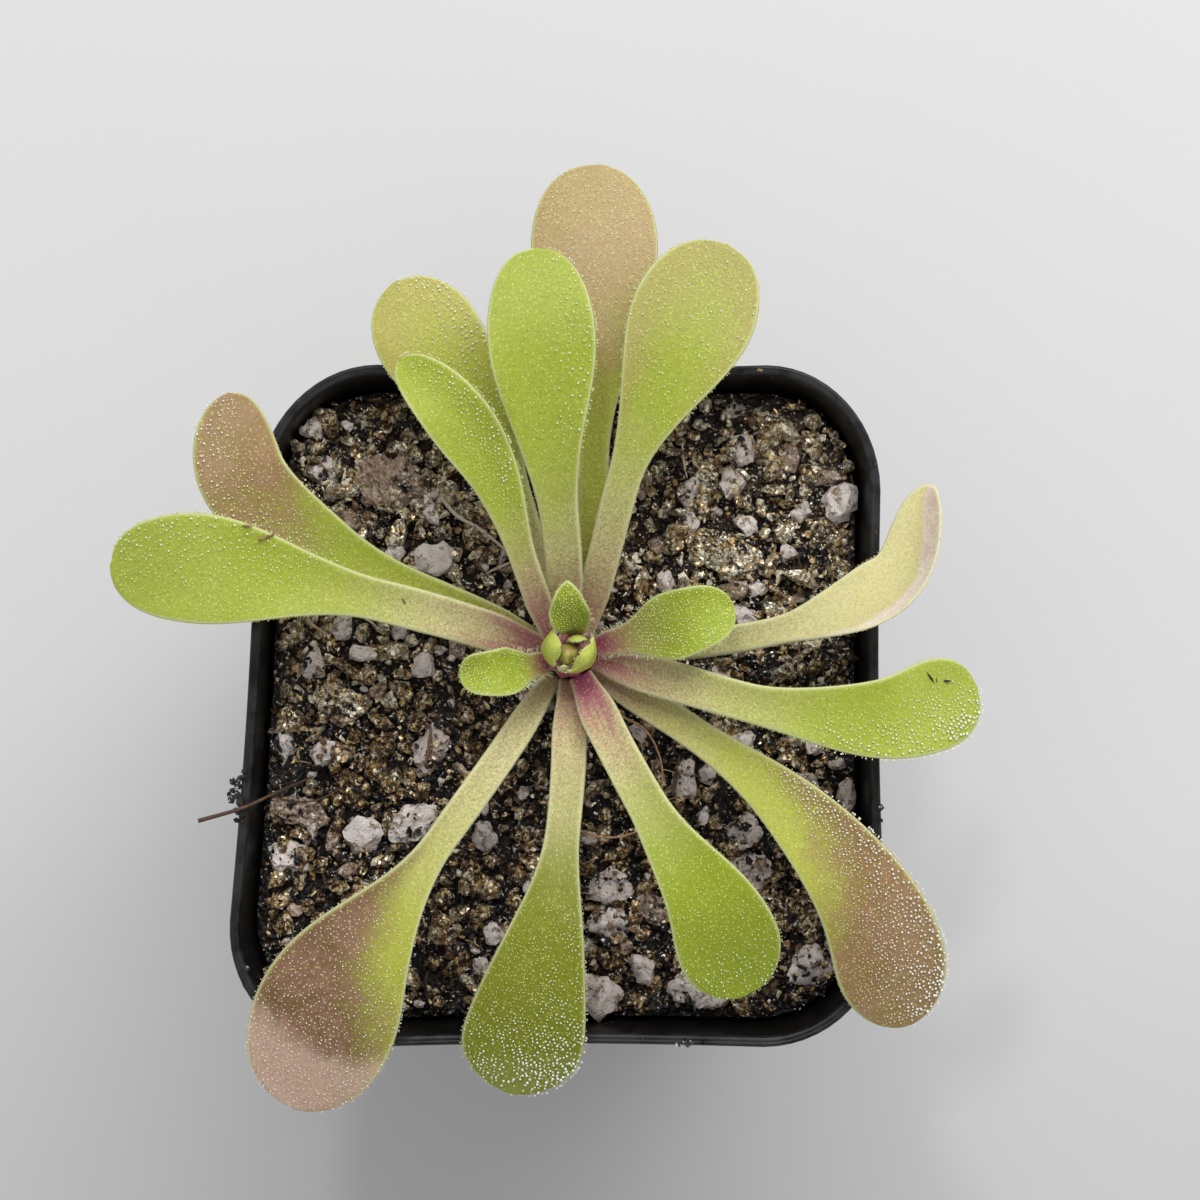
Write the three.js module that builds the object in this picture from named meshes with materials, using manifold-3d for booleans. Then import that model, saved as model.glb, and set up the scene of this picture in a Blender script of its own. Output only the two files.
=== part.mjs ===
// Potted butterwort: a rosette of broad, soft, sticky leaves on a short crown, which stands in a
// black square nursery pot filled with gritty soil. Millimetres, +Z up, +Y to the back. The
// origin is the middle of the pot's flat underside.

import * as THREE from 'three';
import { mergeVertices } from 'three/addons/utils/BufferGeometryUtils.js';
import Module from 'manifold-3d';

const wasm = await Module();
wasm.setup();

// Pot: a soft square that its own weight of soil has pushed slightly out of true
const POT_HEIGHT = 70;
const BASE_WIDTH = 57;
const RIM_BACK_WIDTH = 71;
const RIM_FRONT_WIDTH = 76;
const RIM_DEPTH = 78.4;
const RIM_BACK_SHIFT = 1;
const RIM_FRONT_SHIFT = -1;
const RIM_CORNER_RADIUS = 14.5;
const BASE_CORNER_RADIUS = 10;
const SIDE_BOW = 0.45;
const BAND_HEIGHT = 9;
const BAND_STEP = 1;
const LIP_WIDTH = 1.3;
const WALL = 1;
const FLOOR = 1.5;
const EDGE_ROUND = 0.5;
const FLOOR_ROUND = 1.1;
const DRAIN_RADIUS = 3.5;
const DRAIN_SPACING = 32;
const DRAIN_SIDES = 16;
const CORNER_STEPS = 5;
const SIDE_STEPS = 4;

// Clearance between pieces that rest on each other
const GAP = 0.3;

// Soil
const SOIL_TOP = 63;
const SOIL_ROUGHNESS = 0.5;
const SOIL_RINGS = 8;
const SOIL_EDGE_REACH = 0.99;
const CROWN_DIP = 1;
const CROWN_DIP_RADIUS = 7;

// Crown: the short stem that carries every leaf, with its root stub in the soil. Its outline
// runs from the root's end to the top as pairs of radius and height
const CROWN_X = 0.7;
const CROWN_Y = 5.8;
const CROWN_SIDES = 12;
const CROWN_OUTLINE = [[0.5, 51], [1.2, 57], [1.8, 62.5], [1.8, 69.3], [1.1, 70.3]];
const CROWN_TOP = 70.5;

// Leaves
const LEAF_SECTIONS = 17;
const TIP_SECTIONS = 5;
const LEAF_STRIPS = 4;
const BLADE_THICKNESS = 0.75;
const STALK_THICKNESS = 1.15;
const MARGIN_THICKNESS = 0.35;
const MARGIN_THINNING = 0.8;
const TIP_WIDTH = 0.12;
const TIP_TAPER = 0.44;
const BASE_WIDTH_SHARE = 0.62;
const BASE_LENGTH_SHARE = 0.16;
const STALK_CHANNEL = 0.16;
const ROLL_START = 0.35;
const ROLL_LENGTH = 0.4;

// Each leaf has five points along its middle from the crown to its tip, the widths of its stalk
// and blade, and how far along it the stalk ends (neck) and the blade is widest (broad). Roll
// turns the blade about its own length, in degrees, cup lifts the blade's margins, flesh is its
// thickness beside a full-grown leaf's, and a higher taper makes its tip more pointed.
const LARGE_LEAVES = [
  {
    name: 'leaf_back_lower', kind: 'pink', stalk: 3.4, blade: 14.8,
    neck: 0.4, broad: 0.84, roll: 0, cup: -0.05,
    path: [[1.4, 8.3, 64.2], [3, 19, 71], [3.5, 32, 75], [3.5, 47, 76], [3.5, 61.5, 73.5]],
  },
  {
    name: 'leaf_back_upper', kind: 'green', stalk: 4.2, blade: 12,
    neck: 0.33, broad: 0.8, roll: 0, cup: 0.05,
    path: [[0.1, 8.4, 68.3], [0, 16.5, 75], [-1.5, 29.5, 81.5], [-2.5, 41.5, 84], [-3, 50.5, 82.5]],
  },
  {
    name: 'leaf_back_right', kind: 'green', stalk: 3.7, blade: 13.8,
    neck: 0.42, broad: 0.82, roll: 0, cup: 0.05,
    path: [[2.2, 7.8, 66.8], [4.5, 16.5, 73], [7.5, 27.5, 78], [13, 40.3, 80.5], [18.4, 51.6, 78]],
  },
  {
    name: 'leaf_back_left_lower', kind: 'pink', stalk: 3.2, blade: 12.2,
    neck: 0.4, broad: 0.82, roll: 0, cup: 0,
    path: [[-0.6, 8, 65.3], [-3.5, 18, 70.5], [-7.2, 29, 74.5], [-14.6, 40.5, 75.5], [-19, 48, 73.5]],
  },
  {
    name: 'leaf_back_left_upper', kind: 'green', stalk: 3, blade: 7.2,
    neck: 0.3, broad: 0.74, roll: 0, cup: 0.15,
    path: [[-1.5, 7.8, 70.3], [-4.2, 15.5, 76.8], [-8, 26, 82], [-13, 33, 85], [-18, 38, 83.5]],
  },
  {
    name: 'leaf_left_back', kind: 'pink', stalk: 3.2, blade: 10.2,
    neck: 0.32, broad: 0.78, roll: 0, cup: 0.05,
    path: [[-1.9, 7.1, 63.9], [-14, 12.5, 71], [-26.5, 17.6, 75], [-35.8, 25, 75.5], [-38, 35.4, 72.5]],
  },
  {
    name: 'leaf_left', kind: 'green', stalk: 4.6, blade: 12.3,
    neck: 0.42, broad: 0.81, roll: 0, cup: 0.05,
    path: [[-2.2, 6.4, 67.2], [-14, 10, 76], [-27, 13, 81], [-40, 15, 82], [-50.5, 15.5, 78]],
  },
  {
    name: 'leaf_front_left', kind: 'pink', stalk: 3.5, blade: 17,
    neck: 0.42, broad: 0.83, roll: 0, cup: -0.05,
    path: [[-1.1, 3.5, 64.4], [-6.5, -5, 71.5], [-15, -17, 75.5], [-24.5, -30.5, 75.5], [-31, -45.5, 71]],
  },
  {
    name: 'leaf_front', kind: 'dark', stalk: 3.9, blade: 13.8,
    neck: 0.38, broad: 0.85, roll: 0, cup: 0,
    path: [[0.7, 2.9, 66], [0.5, -8.5, 73.5], [-1, -21, 77], [-3.5, -33, 76], [-6, -44, 70]],
  },
  {
    name: 'leaf_front_right_upper', kind: 'green', stalk: 4.4, blade: 11.6,
    neck: 0.42, broad: 0.84, roll: 0, cup: 0.05,
    path: [[2, 3.3, 68], [6, -5, 75.5], [11, -14, 80.5], [16.5, -22.5, 81], [20.5, -32.5, 75.5]],
  },
  {
    name: 'leaf_front_right_lower', kind: 'brown', stalk: 3.7, blade: 12.6,
    neck: 0.25, broad: 0.86, roll: 0, cup: 0,
    path: [[3, 4.2, 64.6], [13, -2, 72], [25.3, -11.3, 76.5], [34.3, -22.6, 77], [39, -36.3, 72]],
  },
  {
    name: 'leaf_right', kind: 'green', stalk: 4.4, blade: 10.4,
    neck: 0.42, broad: 0.86, roll: 0, cup: 0.05,
    path: [[3.4, 5.4, 66.7], [13, 2.5, 74.5], [24, -0.5, 78.5], [36.5, -1.5, 78], [47, 2, 72.5]],
  },
  {
    name: 'leaf_right_back', kind: 'pale', stalk: 3.2, blade: 8.4,
    neck: 0.45, broad: 0.72, taper: 0.5, roll: -38, cup: 0.2,
    path: [[3.3, 6.9, 64.5], [15.5, 7, 70.5], [29, 9.6, 74.5], [38.4, 14, 75], [41.8, 25, 73]],
  },
];

const YOUNG_LEAVES = [
  {
    name: 'young_leaf_left', kind: 'green', stalk: 2.8, blade: 5.4,
    neck: 0.25, broad: 0.68, roll: 0, cup: 0.2,
    flesh: 0.75,
    path: [[-1.8, 5, 68.8], [-3.6, 4.4, 72], [-5.6, 3.9, 75.2], [-8.2, 3.5, 77.3], [-11.6, 3.6, 76.5]],
  },
  {
    name: 'young_leaf_right', kind: 'green', stalk: 2.8, blade: 7.8,
    neck: 0.1, broad: 0.7, roll: 0, cup: 0.1,
    flesh: 0.75,
    path: [[3.2, 6.6, 68.4], [7, 7.5, 73], [11, 8.5, 77.5], [14.5, 9.5, 80], [19, 11, 79]],
  },
  {
    name: 'young_leaf_back', kind: 'green', stalk: 2.6, blade: 4.7,
    neck: 0.12, broad: 0.58, taper: 0.72, roll: 0, cup: 0.15,
    flesh: 0.75,
    path: [[1.3, 8.2, 70.7], [1.2, 9.1, 73.5], [0.7, 10.2, 76], [0.5, 11.9, 78], [0.4, 13.8, 78.5]],
  },
];

// The bud at the middle: curled leaflets that lean together round a small folded tip
const BUD_LEAVES = [
  {
    name: 'bud_leaf_left', kind: 'green', stalk: 3.3, blade: 4.1,
    neck: 0.1, broad: 0.6, roll: 0, cup: 0.3,
    flesh: 0.6, across: [0, 1, 0],
    path: [[-0.9, 6.2, 71], [-2, 6.3, 72.6], [-2.2, 6.4, 74.5], [-1.6, 6.5, 76], [-0.4, 6.4, 76.5]],
  },
  {
    name: 'bud_leaf_right', kind: 'green', stalk: 3.8, blade: 4.9,
    neck: 0.1, broad: 0.6, roll: 0, cup: 0.34,
    flesh: 0.6, across: [-0.57, -0.82, 0],
    path: [[2.3, 5.2, 71], [3, 4.9, 72.6], [3.2, 4.8, 74.4], [2.8, 5, 75.9], [1.9, 5.6, 76.4]],
  },
  {
    name: 'bud_leaf_back', kind: 'green', stalk: 1.8, blade: 2.3,
    neck: 0.1, broad: 0.6, roll: 0, cup: 0.2,
    flesh: 0.6, across: [1, 0, 0],
    path: [[1.5, 7.2, 71], [1.6, 7.55, 72.4], [1.6, 7.7, 73.8], [1.5, 7.55, 75], [1.3, 7.1, 75.5]],
  },
  {
    name: 'bud_leaf_front', kind: 'green', stalk: 1.2, blade: 1.4,
    neck: 0.1, broad: 0.6, roll: 0, cup: 0.2,
    flesh: 0.6, across: [-1, 0, 0],
    path: [[0, 4.55, 71], [0, 4.05, 72.2], [0, 3.85, 73.2], [0, 4.05, 74.2], [0.1, 4.45, 74.6]],
  },
];
const BUD_TIP_X = 0.5;
const BUD_TIP_Y = 5.75;
const BUD_TIP_BOTTOM = 70.8;
const BUD_TIP_OUTLINE = [[0, 0], [0.6, 0.3], [1.1, 1.6], [1.2, 2.8], [0.8, 3.9], [0, 4.4]];
const BUD_TIP_SIDES = 10;

// Loose grains pressed into the soil: place on the pot's plan, size along X, Y and Z, and turn
const GRAINS = {
  perlite: [
    { at: [20.3, 34.3], size: [4.2, 3.4, 3.4], turn: 10 },
    { at: [20.9, 30], size: [3.4, 3.9, 3.2], turn: 0 },
    { at: [14.8, 25.1], size: [3.4, 2.8, 2.8], turn: 20 },
    { at: [-28.4, 27], size: [3.6, 4.6, 3.6], turn: 30 },
    { at: [-27.6, -5.5], size: [4.6, 4, 3.6], turn: 15 },
    { at: [-32.5, -4.4], size: [3, 5.2, 3.4], turn: 0 },
    { at: [-15.5, -4.9], size: [3.8, 5.6, 3.4], turn: -10 },
    { at: [5.2, -20.8], size: [5.4, 3.8, 3.4], turn: 12 },
    { at: [5.4, -25.6], size: [5.8, 4, 3.6], turn: -8 },
    { at: [15.9, -33], size: [6.6, 5, 4.2], turn: 12 },
    { at: [28.3, -30.8], size: [5.4, 6, 4.4], turn: 10 },
    { at: [21.3, -14.7], size: [4, 3.5, 3.2], turn: 20 },
    { at: [21.7, -19], size: [4.6, 3.6, 3.4], turn: -12 },
    { at: [19.7, 25.6], size: [3, 3.6, 3], turn: 5 },
    { at: [14.2, -8.5], size: [2.6, 4, 2.8], turn: 15 },
    { at: [-29, 4.6], size: [3.1, 3.5, 3], turn: 0 },
    { at: [-17.6, -13.4], size: [5.6, 4.2, 3.4], turn: 20 },
    { at: [-32.3, -18.4], size: [4.2, 4.8, 3.6], turn: -20 },
  ],
  vermiculite: [
    { at: [-25.6, -0.2], size: [5.6, 4, 3], turn: -28 },
    { at: [18.8, 18.1], size: [7.4, 4, 3], turn: -27 },
    { at: [27.6, -24.5], size: [4, 4, 3], turn: 60 },
    { at: [-22.6, 33.8], size: [3, 3.6, 2.6], turn: 70 },
    { at: [30.9, 19.4], size: [4.8, 3.6, 2.8], turn: -8 },
    { at: [-24.8, -9.8], size: [3, 3.8, 2.4], turn: 35 },
  ],
  bark: [
    { at: [-20, 26.1], size: [6.4, 6, 4], turn: 35 },
    { at: [-31.5, -12.4], size: [5, 3.2, 3], turn: -8 },
  ],
};
const GRAIN_SUNK = 0.45;
const GRAIN_ROUGHNESS = 0.16;

// A dry needle that fell across the rim
const NEEDLE_DIAMETER = 0.5;
const NEEDLE_SIDES = 6;
const NEEDLE_STEPS = 12;
const NEEDLE_RIM_END = [-41.5, -13.2, 71.4];
const NEEDLE_ON_RIM = [-36.4, -11.7, 71.1];
const NEEDLE_SOIL_END = [-29.2, -8.4];

const LOOKS = {
  pot: { color: 0x1d1e20, roughness: 0.45 },
  soil: { color: 0x32281f, roughness: 0.95 },
  crown: { color: 0x8a5a62, roughness: 0.6 },
  pink: { color: 0xb79a72, roughness: 0.4 },
  green: { color: 0xa3bd46, roughness: 0.4 },
  dark: { color: 0x7f9130, roughness: 0.4 },
  brown: { color: 0xa38a5c, roughness: 0.4 },
  pale: { color: 0xc6c58a, roughness: 0.4 },
  bud: { color: 0x9a6a48, roughness: 0.5 },
  perlite: { color: 0xb4aba3, roughness: 0.9 },
  vermiculite: { color: 0xc2a165, roughness: 0.4 },
  bark: { color: 0x6b5846, roughness: 0.9 },
  needle: { color: 0x8a6a44, roughness: 0.7 },
};

// Helpers for closed meshes

function closedGeometry(vertices, triangles) {
  const geometry = new THREE.BufferGeometry();
  geometry.setAttribute('position', new THREE.Float32BufferAttribute(vertices.flat(), 3));
  geometry.setIndex(triangles.flat());
  geometry.computeVertexNormals();
  return geometry;
}

// Joins equal rings of points into a closed skin with a fan over each end
function skinOverRings(rings) {
  const count = rings[0].length;
  const vertices = rings.flat();
  const triangles = [];
  for (let ring = 0; ring < rings.length - 1; ring += 1) {
    for (let i = 0; i < count; i += 1) {
      const a = ring * count + i;
      const b = ring * count + ((i + 1) % count);
      triangles.push([a, b, b + count], [a, b + count, a + count]);
    }
  }
  const first = vertices.push(middleOf(rings[0])) - 1;
  const last = vertices.push(middleOf(rings.at(-1))) - 1;
  const start = (rings.length - 1) * count;
  for (let i = 0; i < count; i += 1) {
    const next = (i + 1) % count;
    triangles.push([first, next, i], [last, start + i, start + next]);
  }
  return closedGeometry(vertices, triangles);
}

function middleOf(ring) {
  const sum = ring.reduce((total, point) => total.map((value, axis) => value + point[axis]), [0, 0, 0]);
  return sum.map((value) => value / ring.length);
}

function solidFrom(geometry) {
  const bare = geometry.clone();
  bare.deleteAttribute('normal');
  bare.deleteAttribute('uv');
  const merged = mergeVertices(bare, 1e-4);
  return new wasm.Manifold(new wasm.Mesh({
    numProp: 3,
    vertProperties: new Float32Array(merged.attributes.position.array),
    triVerts: new Uint32Array(merged.index.array),
  }));
}

function geometryFrom(solid) {
  const { vertProperties, triVerts, numProp } = solid.getMesh();
  const vertices = [];
  for (let i = 0; i < vertProperties.length; i += numProp) {
    vertices.push([vertProperties[i], vertProperties[i + 1], vertProperties[i + 2]]);
  }
  return closedGeometry(vertices, [Array.from(triVerts)]);
}

function piece(name, look, geometry) {
  const mesh = new THREE.Mesh(geometry, new THREE.MeshStandardMaterial({ ...LOOKS[look], metalness: 0 }));
  mesh.name = name;
  return mesh;
}

// Pot

// One turn round the pot at a height, set in from its outer face there
function potOutline(height, inset) {
  const rise = height / POT_HEIGHT;
  const frontWidth = THREE.MathUtils.lerp(BASE_WIDTH, RIM_FRONT_WIDTH, rise) - 2 * inset;
  const backWidth = THREE.MathUtils.lerp(BASE_WIDTH, RIM_BACK_WIDTH, rise) - 2 * inset;
  const depth = THREE.MathUtils.lerp(BASE_WIDTH, RIM_DEPTH, rise) - 2 * inset;
  const radius = THREE.MathUtils.lerp(BASE_CORNER_RADIUS, RIM_CORNER_RADIUS, rise) - inset;
  const corner = radius / (depth / 2);
  return softSquare(corner).map(([across, along, bow]) => {
    const toBack = (along + 1) / 2;
    const halfWidth = THREE.MathUtils.lerp(frontWidth, backWidth, toBack) / 2;
    const shift = THREE.MathUtils.lerp(RIM_FRONT_SHIFT, RIM_BACK_SHIFT, toBack) * rise;
    const bowIn = SIDE_BOW * rise * bow;
    return [
      shift + across * halfWidth - outwards(across) * bowIn,
      (along * depth) / 2 - outwards(along) * bowIn,
      height,
    ];
  });
}

// Which way is outwards at a side of the unit square, or 0 where the point isn't on that side
function outwards(place) {
  return Math.abs(place) > 1 - 1e-6 ? Math.sign(place) : 0;
}

// A square of half size 1 with round corners, and how far each point bows inwards, from 0 to 1
function softSquare(corner) {
  const points = [];
  for (let side = 0; side < 4; side += 1) {
    const turn = (side * Math.PI) / 2;
    for (let step = 0; step < CORNER_STEPS; step += 1) {
      const angle = (step / CORNER_STEPS) * (Math.PI / 2);
      const x = 1 - corner + corner * Math.cos(angle);
      const y = 1 - corner + corner * Math.sin(angle);
      points.push([...turned(x, y, turn), 0]);
    }
    for (let step = 0; step < SIDE_STEPS; step += 1) {
      const along = step / SIDE_STEPS;
      const x = (1 - corner) * (1 - 2 * along);
      points.push([...turned(x, 1, turn), Math.sin(along * Math.PI)]);
    }
  }
  return points;
}

function turned(x, y, angle) {
  return [x * Math.cos(angle) - y * Math.sin(angle), x * Math.sin(angle) + y * Math.cos(angle)];
}

function drainHole(x, y) {
  const cutter = new THREE.CylinderGeometry(DRAIN_RADIUS, DRAIN_RADIUS, 4 * FLOOR, DRAIN_SIDES);
  cutter.rotateX(Math.PI / 2);
  cutter.translate(x, y, FLOOR / 2);
  return solidFrom(cutter);
}

// The wall steps out by BAND_STEP at the band and keeps its thickness. The inner face has a ring
// of points at each of these heights, and its step lies just below the outer one
const BAND_BOTTOM = POT_HEIGHT - BAND_HEIGHT;
const WALL_LEVELS = [4, 23, 42, BAND_BOTTOM - 0.6];
const INNER_STEP_TOP = BAND_BOTTOM + 0.4;

function buildPot() {
  const inner = BAND_STEP + WALL;
  const rings = [
    potOutline(0, BAND_STEP + EDGE_ROUND),
    potOutline(EDGE_ROUND, BAND_STEP),
    potOutline(BAND_BOTTOM, BAND_STEP),
    potOutline(BAND_BOTTOM + EDGE_ROUND, 0),
    potOutline(POT_HEIGHT - EDGE_ROUND, 0),
    potOutline(POT_HEIGHT, EDGE_ROUND / 2),
    potOutline(POT_HEIGHT, LIP_WIDTH),
    potOutline(INNER_STEP_TOP, WALL),
    ...WALL_LEVELS.map((height) => potOutline(height, inner)).reverse(),
    potOutline(FLOOR, inner + FLOOR_ROUND),
  ];
  let pot = solidFrom(skinOverRings(rings));
  const reach = DRAIN_SPACING / 2;
  for (const [x, y] of [[reach, reach], [-reach, reach], [-reach, -reach], [reach, -reach]]) {
    pot = pot.subtract(drainHole(x, y));
  }
  return piece('pot', 'pot', geometryFrom(pot));
}

// Soil

function soilHeight(x, y) {
  const fromCrown = Math.hypot(x - CROWN_X, y - CROWN_Y) / CROWN_DIP_RADIUS;
  const dip = CROWN_DIP * Math.exp(-fromCrown * fromCrown);
  const broad = Math.sin(x * 0.19 + 1.3) * Math.cos(y * 0.17 - 0.6);
  const fine = Math.sin(x * 0.61 - y * 0.43) * Math.cos(y * 0.57 + x * 0.21);
  return SOIL_TOP + SOIL_ROUGHNESS * (broad + 0.6 * fine) - dip;
}

function buildSoil(sockets) {
  const inner = BAND_STEP + WALL + GAP;
  const edge = potOutline(INNER_STEP_TOP + GAP, WALL + GAP);
  const rings = [
    potOutline(FLOOR + GAP, inner + FLOOR_ROUND),
    ...WALL_LEVELS.map((height) => potOutline(height, inner)),
    edge,
  ];
  for (let ring = 0; ring < SOIL_RINGS; ring += 1) {
    const reach = ring === 0 ? SOIL_EDGE_REACH : 1 - ring / SOIL_RINGS;
    rings.push(edge.map(([x, y]) => [x * reach, y * reach, soilHeight(x * reach, y * reach)]));
  }
  let soil = solidFrom(skinOverRings(rings));
  for (const socket of sockets) {
    soil = soil.subtract(socket);
  }
  return piece('soil', 'soil', geometryFrom(soil));
}

// Crown

function crownGeometry(clearance) {
  const rootEnd = CROWN_OUTLINE[0][1];
  const sides = CROWN_OUTLINE.map(([radius, height]) => new THREE.Vector2(radius + clearance, height));
  const profile = [
    new THREE.Vector2(0, rootEnd - clearance),
    ...sides,
    new THREE.Vector2(0, CROWN_TOP + clearance),
  ];
  const crown = new THREE.LatheGeometry(profile, CROWN_SIDES);
  crown.rotateX(Math.PI / 2);
  crown.translate(CROWN_X, CROWN_Y, 0);
  return crown;
}

// Leaves

function smooth(value) {
  const t = THREE.MathUtils.clamp(value, 0, 1);
  return t * t * (3 - 2 * t);
}

function leafWidth(leaf, t) {
  const base = leaf.stalk * THREE.MathUtils.lerp(BASE_WIDTH_SHARE, 1, smooth(t / BASE_LENGTH_SHARE));
  if (t <= leaf.broad) {
    return base + (leaf.blade - leaf.stalk) * smooth((t - leaf.neck) / (leaf.broad - leaf.neck));
  }
  const tip = (t - leaf.broad) / (1 - leaf.broad);
  const rounding = (1 - tip * tip) ** (leaf.taper ?? TIP_TAPER);
  return Math.max(rounding, TIP_WIDTH) * leaf.blade;
}

// Places along a leaf: evenly up to its widest point, then closer together round the tip
function leafStations(leaf) {
  const stations = [];
  const along = LEAF_SECTIONS - TIP_SECTIONS;
  for (let i = 0; i < along; i += 1) {
    stations.push((leaf.broad * i) / along);
  }
  for (let i = 0; i <= TIP_SECTIONS; i += 1) {
    const angle = ((i / TIP_SECTIONS) * Math.PI) / 2;
    stations.push(THREE.MathUtils.lerp(leaf.broad, 1, Math.sin(angle)));
  }
  return stations;
}

// The closed ring of points round a leaf's section: over the top, then back underneath
function leafRing(leaf, curve, t) {
  const middle = curve.getPointAt(t);
  const ahead = curve.getTangentAt(t);
  const upright = new THREE.Vector3(0, 0, 1);
  const side = leaf.across
    ? new THREE.Vector3(...leaf.across)
    : new THREE.Vector3().crossVectors(ahead, upright).normalize();
  const roll = THREE.MathUtils.degToRad(leaf.roll) * smooth((t - ROLL_START) / ROLL_LENGTH);
  side.applyAxisAngle(ahead, roll);
  const up = new THREE.Vector3().crossVectors(side, ahead).normalize();
  const width = leafWidth(leaf, t);
  const stalky = 1 - smooth((t - leaf.neck) / (leaf.broad - leaf.neck));
  const body = THREE.MathUtils.lerp(BLADE_THICKNESS, STALK_THICKNESS, stalky) * (leaf.flesh ?? 1);
  const lift = width * THREE.MathUtils.lerp(leaf.cup, STALK_CHANNEL, stalky);
  const pointAt = (across, below) => {
    const thickness = Math.max(body * Math.sqrt(1 - MARGIN_THINNING * across * across), MARGIN_THICKNESS);
    const rise = lift * across * across - thickness * (below ? 0.5 : -0.5);
    return middle.clone().addScaledVector(side, (across * width) / 2).addScaledVector(up, rise).toArray();
  };
  const ring = [];
  for (let i = 0; i <= LEAF_STRIPS; i += 1) {
    ring.push(pointAt((2 * i) / LEAF_STRIPS - 1, false));
  }
  for (let i = 0; i <= LEAF_STRIPS; i += 1) {
    ring.push(pointAt(1 - (2 * i) / LEAF_STRIPS, true));
  }
  return ring;
}

function buildLeaf(leaf) {
  const curve = new THREE.CatmullRomCurve3(leaf.path.map((point) => new THREE.Vector3(...point)));
  const rings = leafStations(leaf).map((t) => leafRing(leaf, curve, t));
  return piece(leaf.name, leaf.kind, skinOverRings(rings));
}

function buildBudTip() {
  const profile = BUD_TIP_OUTLINE.map(([radius, height]) => new THREE.Vector2(radius, height));
  const tip = new THREE.LatheGeometry(profile, BUD_TIP_SIDES);
  tip.rotateX(Math.PI / 2);
  tip.translate(BUD_TIP_X, BUD_TIP_Y, BUD_TIP_BOTTOM);
  return piece('bud_tip', 'bud', tip);
}

// Grains

// A ball pushed in and out by a few waves, so that each grain has lumps of its own
function grainGeometry(grain, clearance) {
  const [x, y] = grain.at;
  const lump = new THREE.IcosahedronGeometry(1, 1);
  const position = lump.attributes.position;
  const point = new THREE.Vector3();
  for (let i = 0; i < position.count; i += 1) {
    point.fromBufferAttribute(position, i);
    const sideways = Math.sin(point.x * 3.1 + x) * Math.cos(point.y * 2.7 + y);
    const upwards = Math.sin(point.z * 3.7 + x + y);
    point.multiplyScalar(1 + GRAIN_ROUGHNESS * 0.5 * (sideways + upwards));
    position.setXYZ(i, point.x, point.y, point.z);
  }
  lump.scale(...grain.size.map((length) => length / 2 + clearance));
  lump.rotateZ(THREE.MathUtils.degToRad(grain.turn));
  lump.translate(x, y, soilHeight(x, y) + grain.size[2] * (0.5 - GRAIN_SUNK));
  return lump;
}

function buildNeedle() {
  const [x, y] = NEEDLE_SOIL_END;
  const soilEnd = [x, y, soilHeight(x, y) + NEEDLE_DIAMETER / 2 + GAP];
  const points = [NEEDLE_RIM_END, NEEDLE_ON_RIM, soilEnd];
  const path = new THREE.CatmullRomCurve3(points.map((point) => new THREE.Vector3(...point)));
  const corners = [];
  for (let i = 0; i < NEEDLE_SIDES; i += 1) {
    const angle = (i / NEEDLE_SIDES) * 2 * Math.PI;
    const corner = new THREE.Vector2(Math.cos(angle), Math.sin(angle)).multiplyScalar(NEEDLE_DIAMETER / 2);
    corners.push(corner);
  }
  const section = new THREE.Shape(corners);
  const needle = new THREE.ExtrudeGeometry(section, { steps: NEEDLE_STEPS, extrudePath: path });
  return piece('fallen_needle', 'needle', needle);
}

// The whole plant in its pot

const plant = new THREE.Group();
plant.name = 'potted_butterwort';
plant.add(buildPot());

const sockets = [solidFrom(crownGeometry(GAP))];
for (const [kind, grains] of Object.entries(GRAINS)) {
  grains.forEach((grain, index) => {
    sockets.push(solidFrom(grainGeometry(grain, GAP)));
    plant.add(piece(`${kind}_${index + 1}`, kind, grainGeometry(grain, 0)));
  });
}
plant.add(buildSoil(sockets));
plant.add(piece('crown', 'crown', crownGeometry(0)));
for (const leaf of [...LARGE_LEAVES, ...YOUNG_LEAVES, ...BUD_LEAVES]) {
  plant.add(buildLeaf(leaf));
}
plant.add(buildBudTip());
plant.add(buildNeedle());

export default plant;
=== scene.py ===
import math
from typing import NamedTuple

import bpy
import numpy as np
from bpy.props import FloatProperty, FloatVectorProperty, IntProperty, PointerProperty
from mathutils import Matrix, Vector, noise


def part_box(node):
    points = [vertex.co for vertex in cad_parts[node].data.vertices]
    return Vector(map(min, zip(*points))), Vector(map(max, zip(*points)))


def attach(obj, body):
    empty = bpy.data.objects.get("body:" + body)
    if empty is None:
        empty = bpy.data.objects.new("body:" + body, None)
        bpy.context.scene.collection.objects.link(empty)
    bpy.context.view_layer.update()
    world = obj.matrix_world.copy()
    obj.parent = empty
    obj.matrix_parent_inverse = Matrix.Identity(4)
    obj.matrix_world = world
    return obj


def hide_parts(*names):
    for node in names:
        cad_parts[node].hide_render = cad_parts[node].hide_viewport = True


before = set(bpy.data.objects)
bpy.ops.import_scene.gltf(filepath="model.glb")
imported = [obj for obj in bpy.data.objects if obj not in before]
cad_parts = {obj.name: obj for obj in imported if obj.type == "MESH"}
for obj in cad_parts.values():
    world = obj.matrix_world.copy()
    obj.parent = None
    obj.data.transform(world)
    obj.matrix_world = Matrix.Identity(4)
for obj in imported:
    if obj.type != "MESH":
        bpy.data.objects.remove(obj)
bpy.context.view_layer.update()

bl_info = {
    "name": "Potted Butterwort",
    "version": (1, 0, 0),
    "blender": (4, 5, 0),
    "location": "3D View > Sidebar > Butterwort",
    "description": "Builds the looks of a potted butterwort around its packed solid model",
    "category": "Object",
}

# Every shape is modelled in millimetres, as the part's own source is, and complete() then brings
# its mesh to metres. +Z is up and +Y is the back.
MM = 0.001
BODY = "root"

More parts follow.
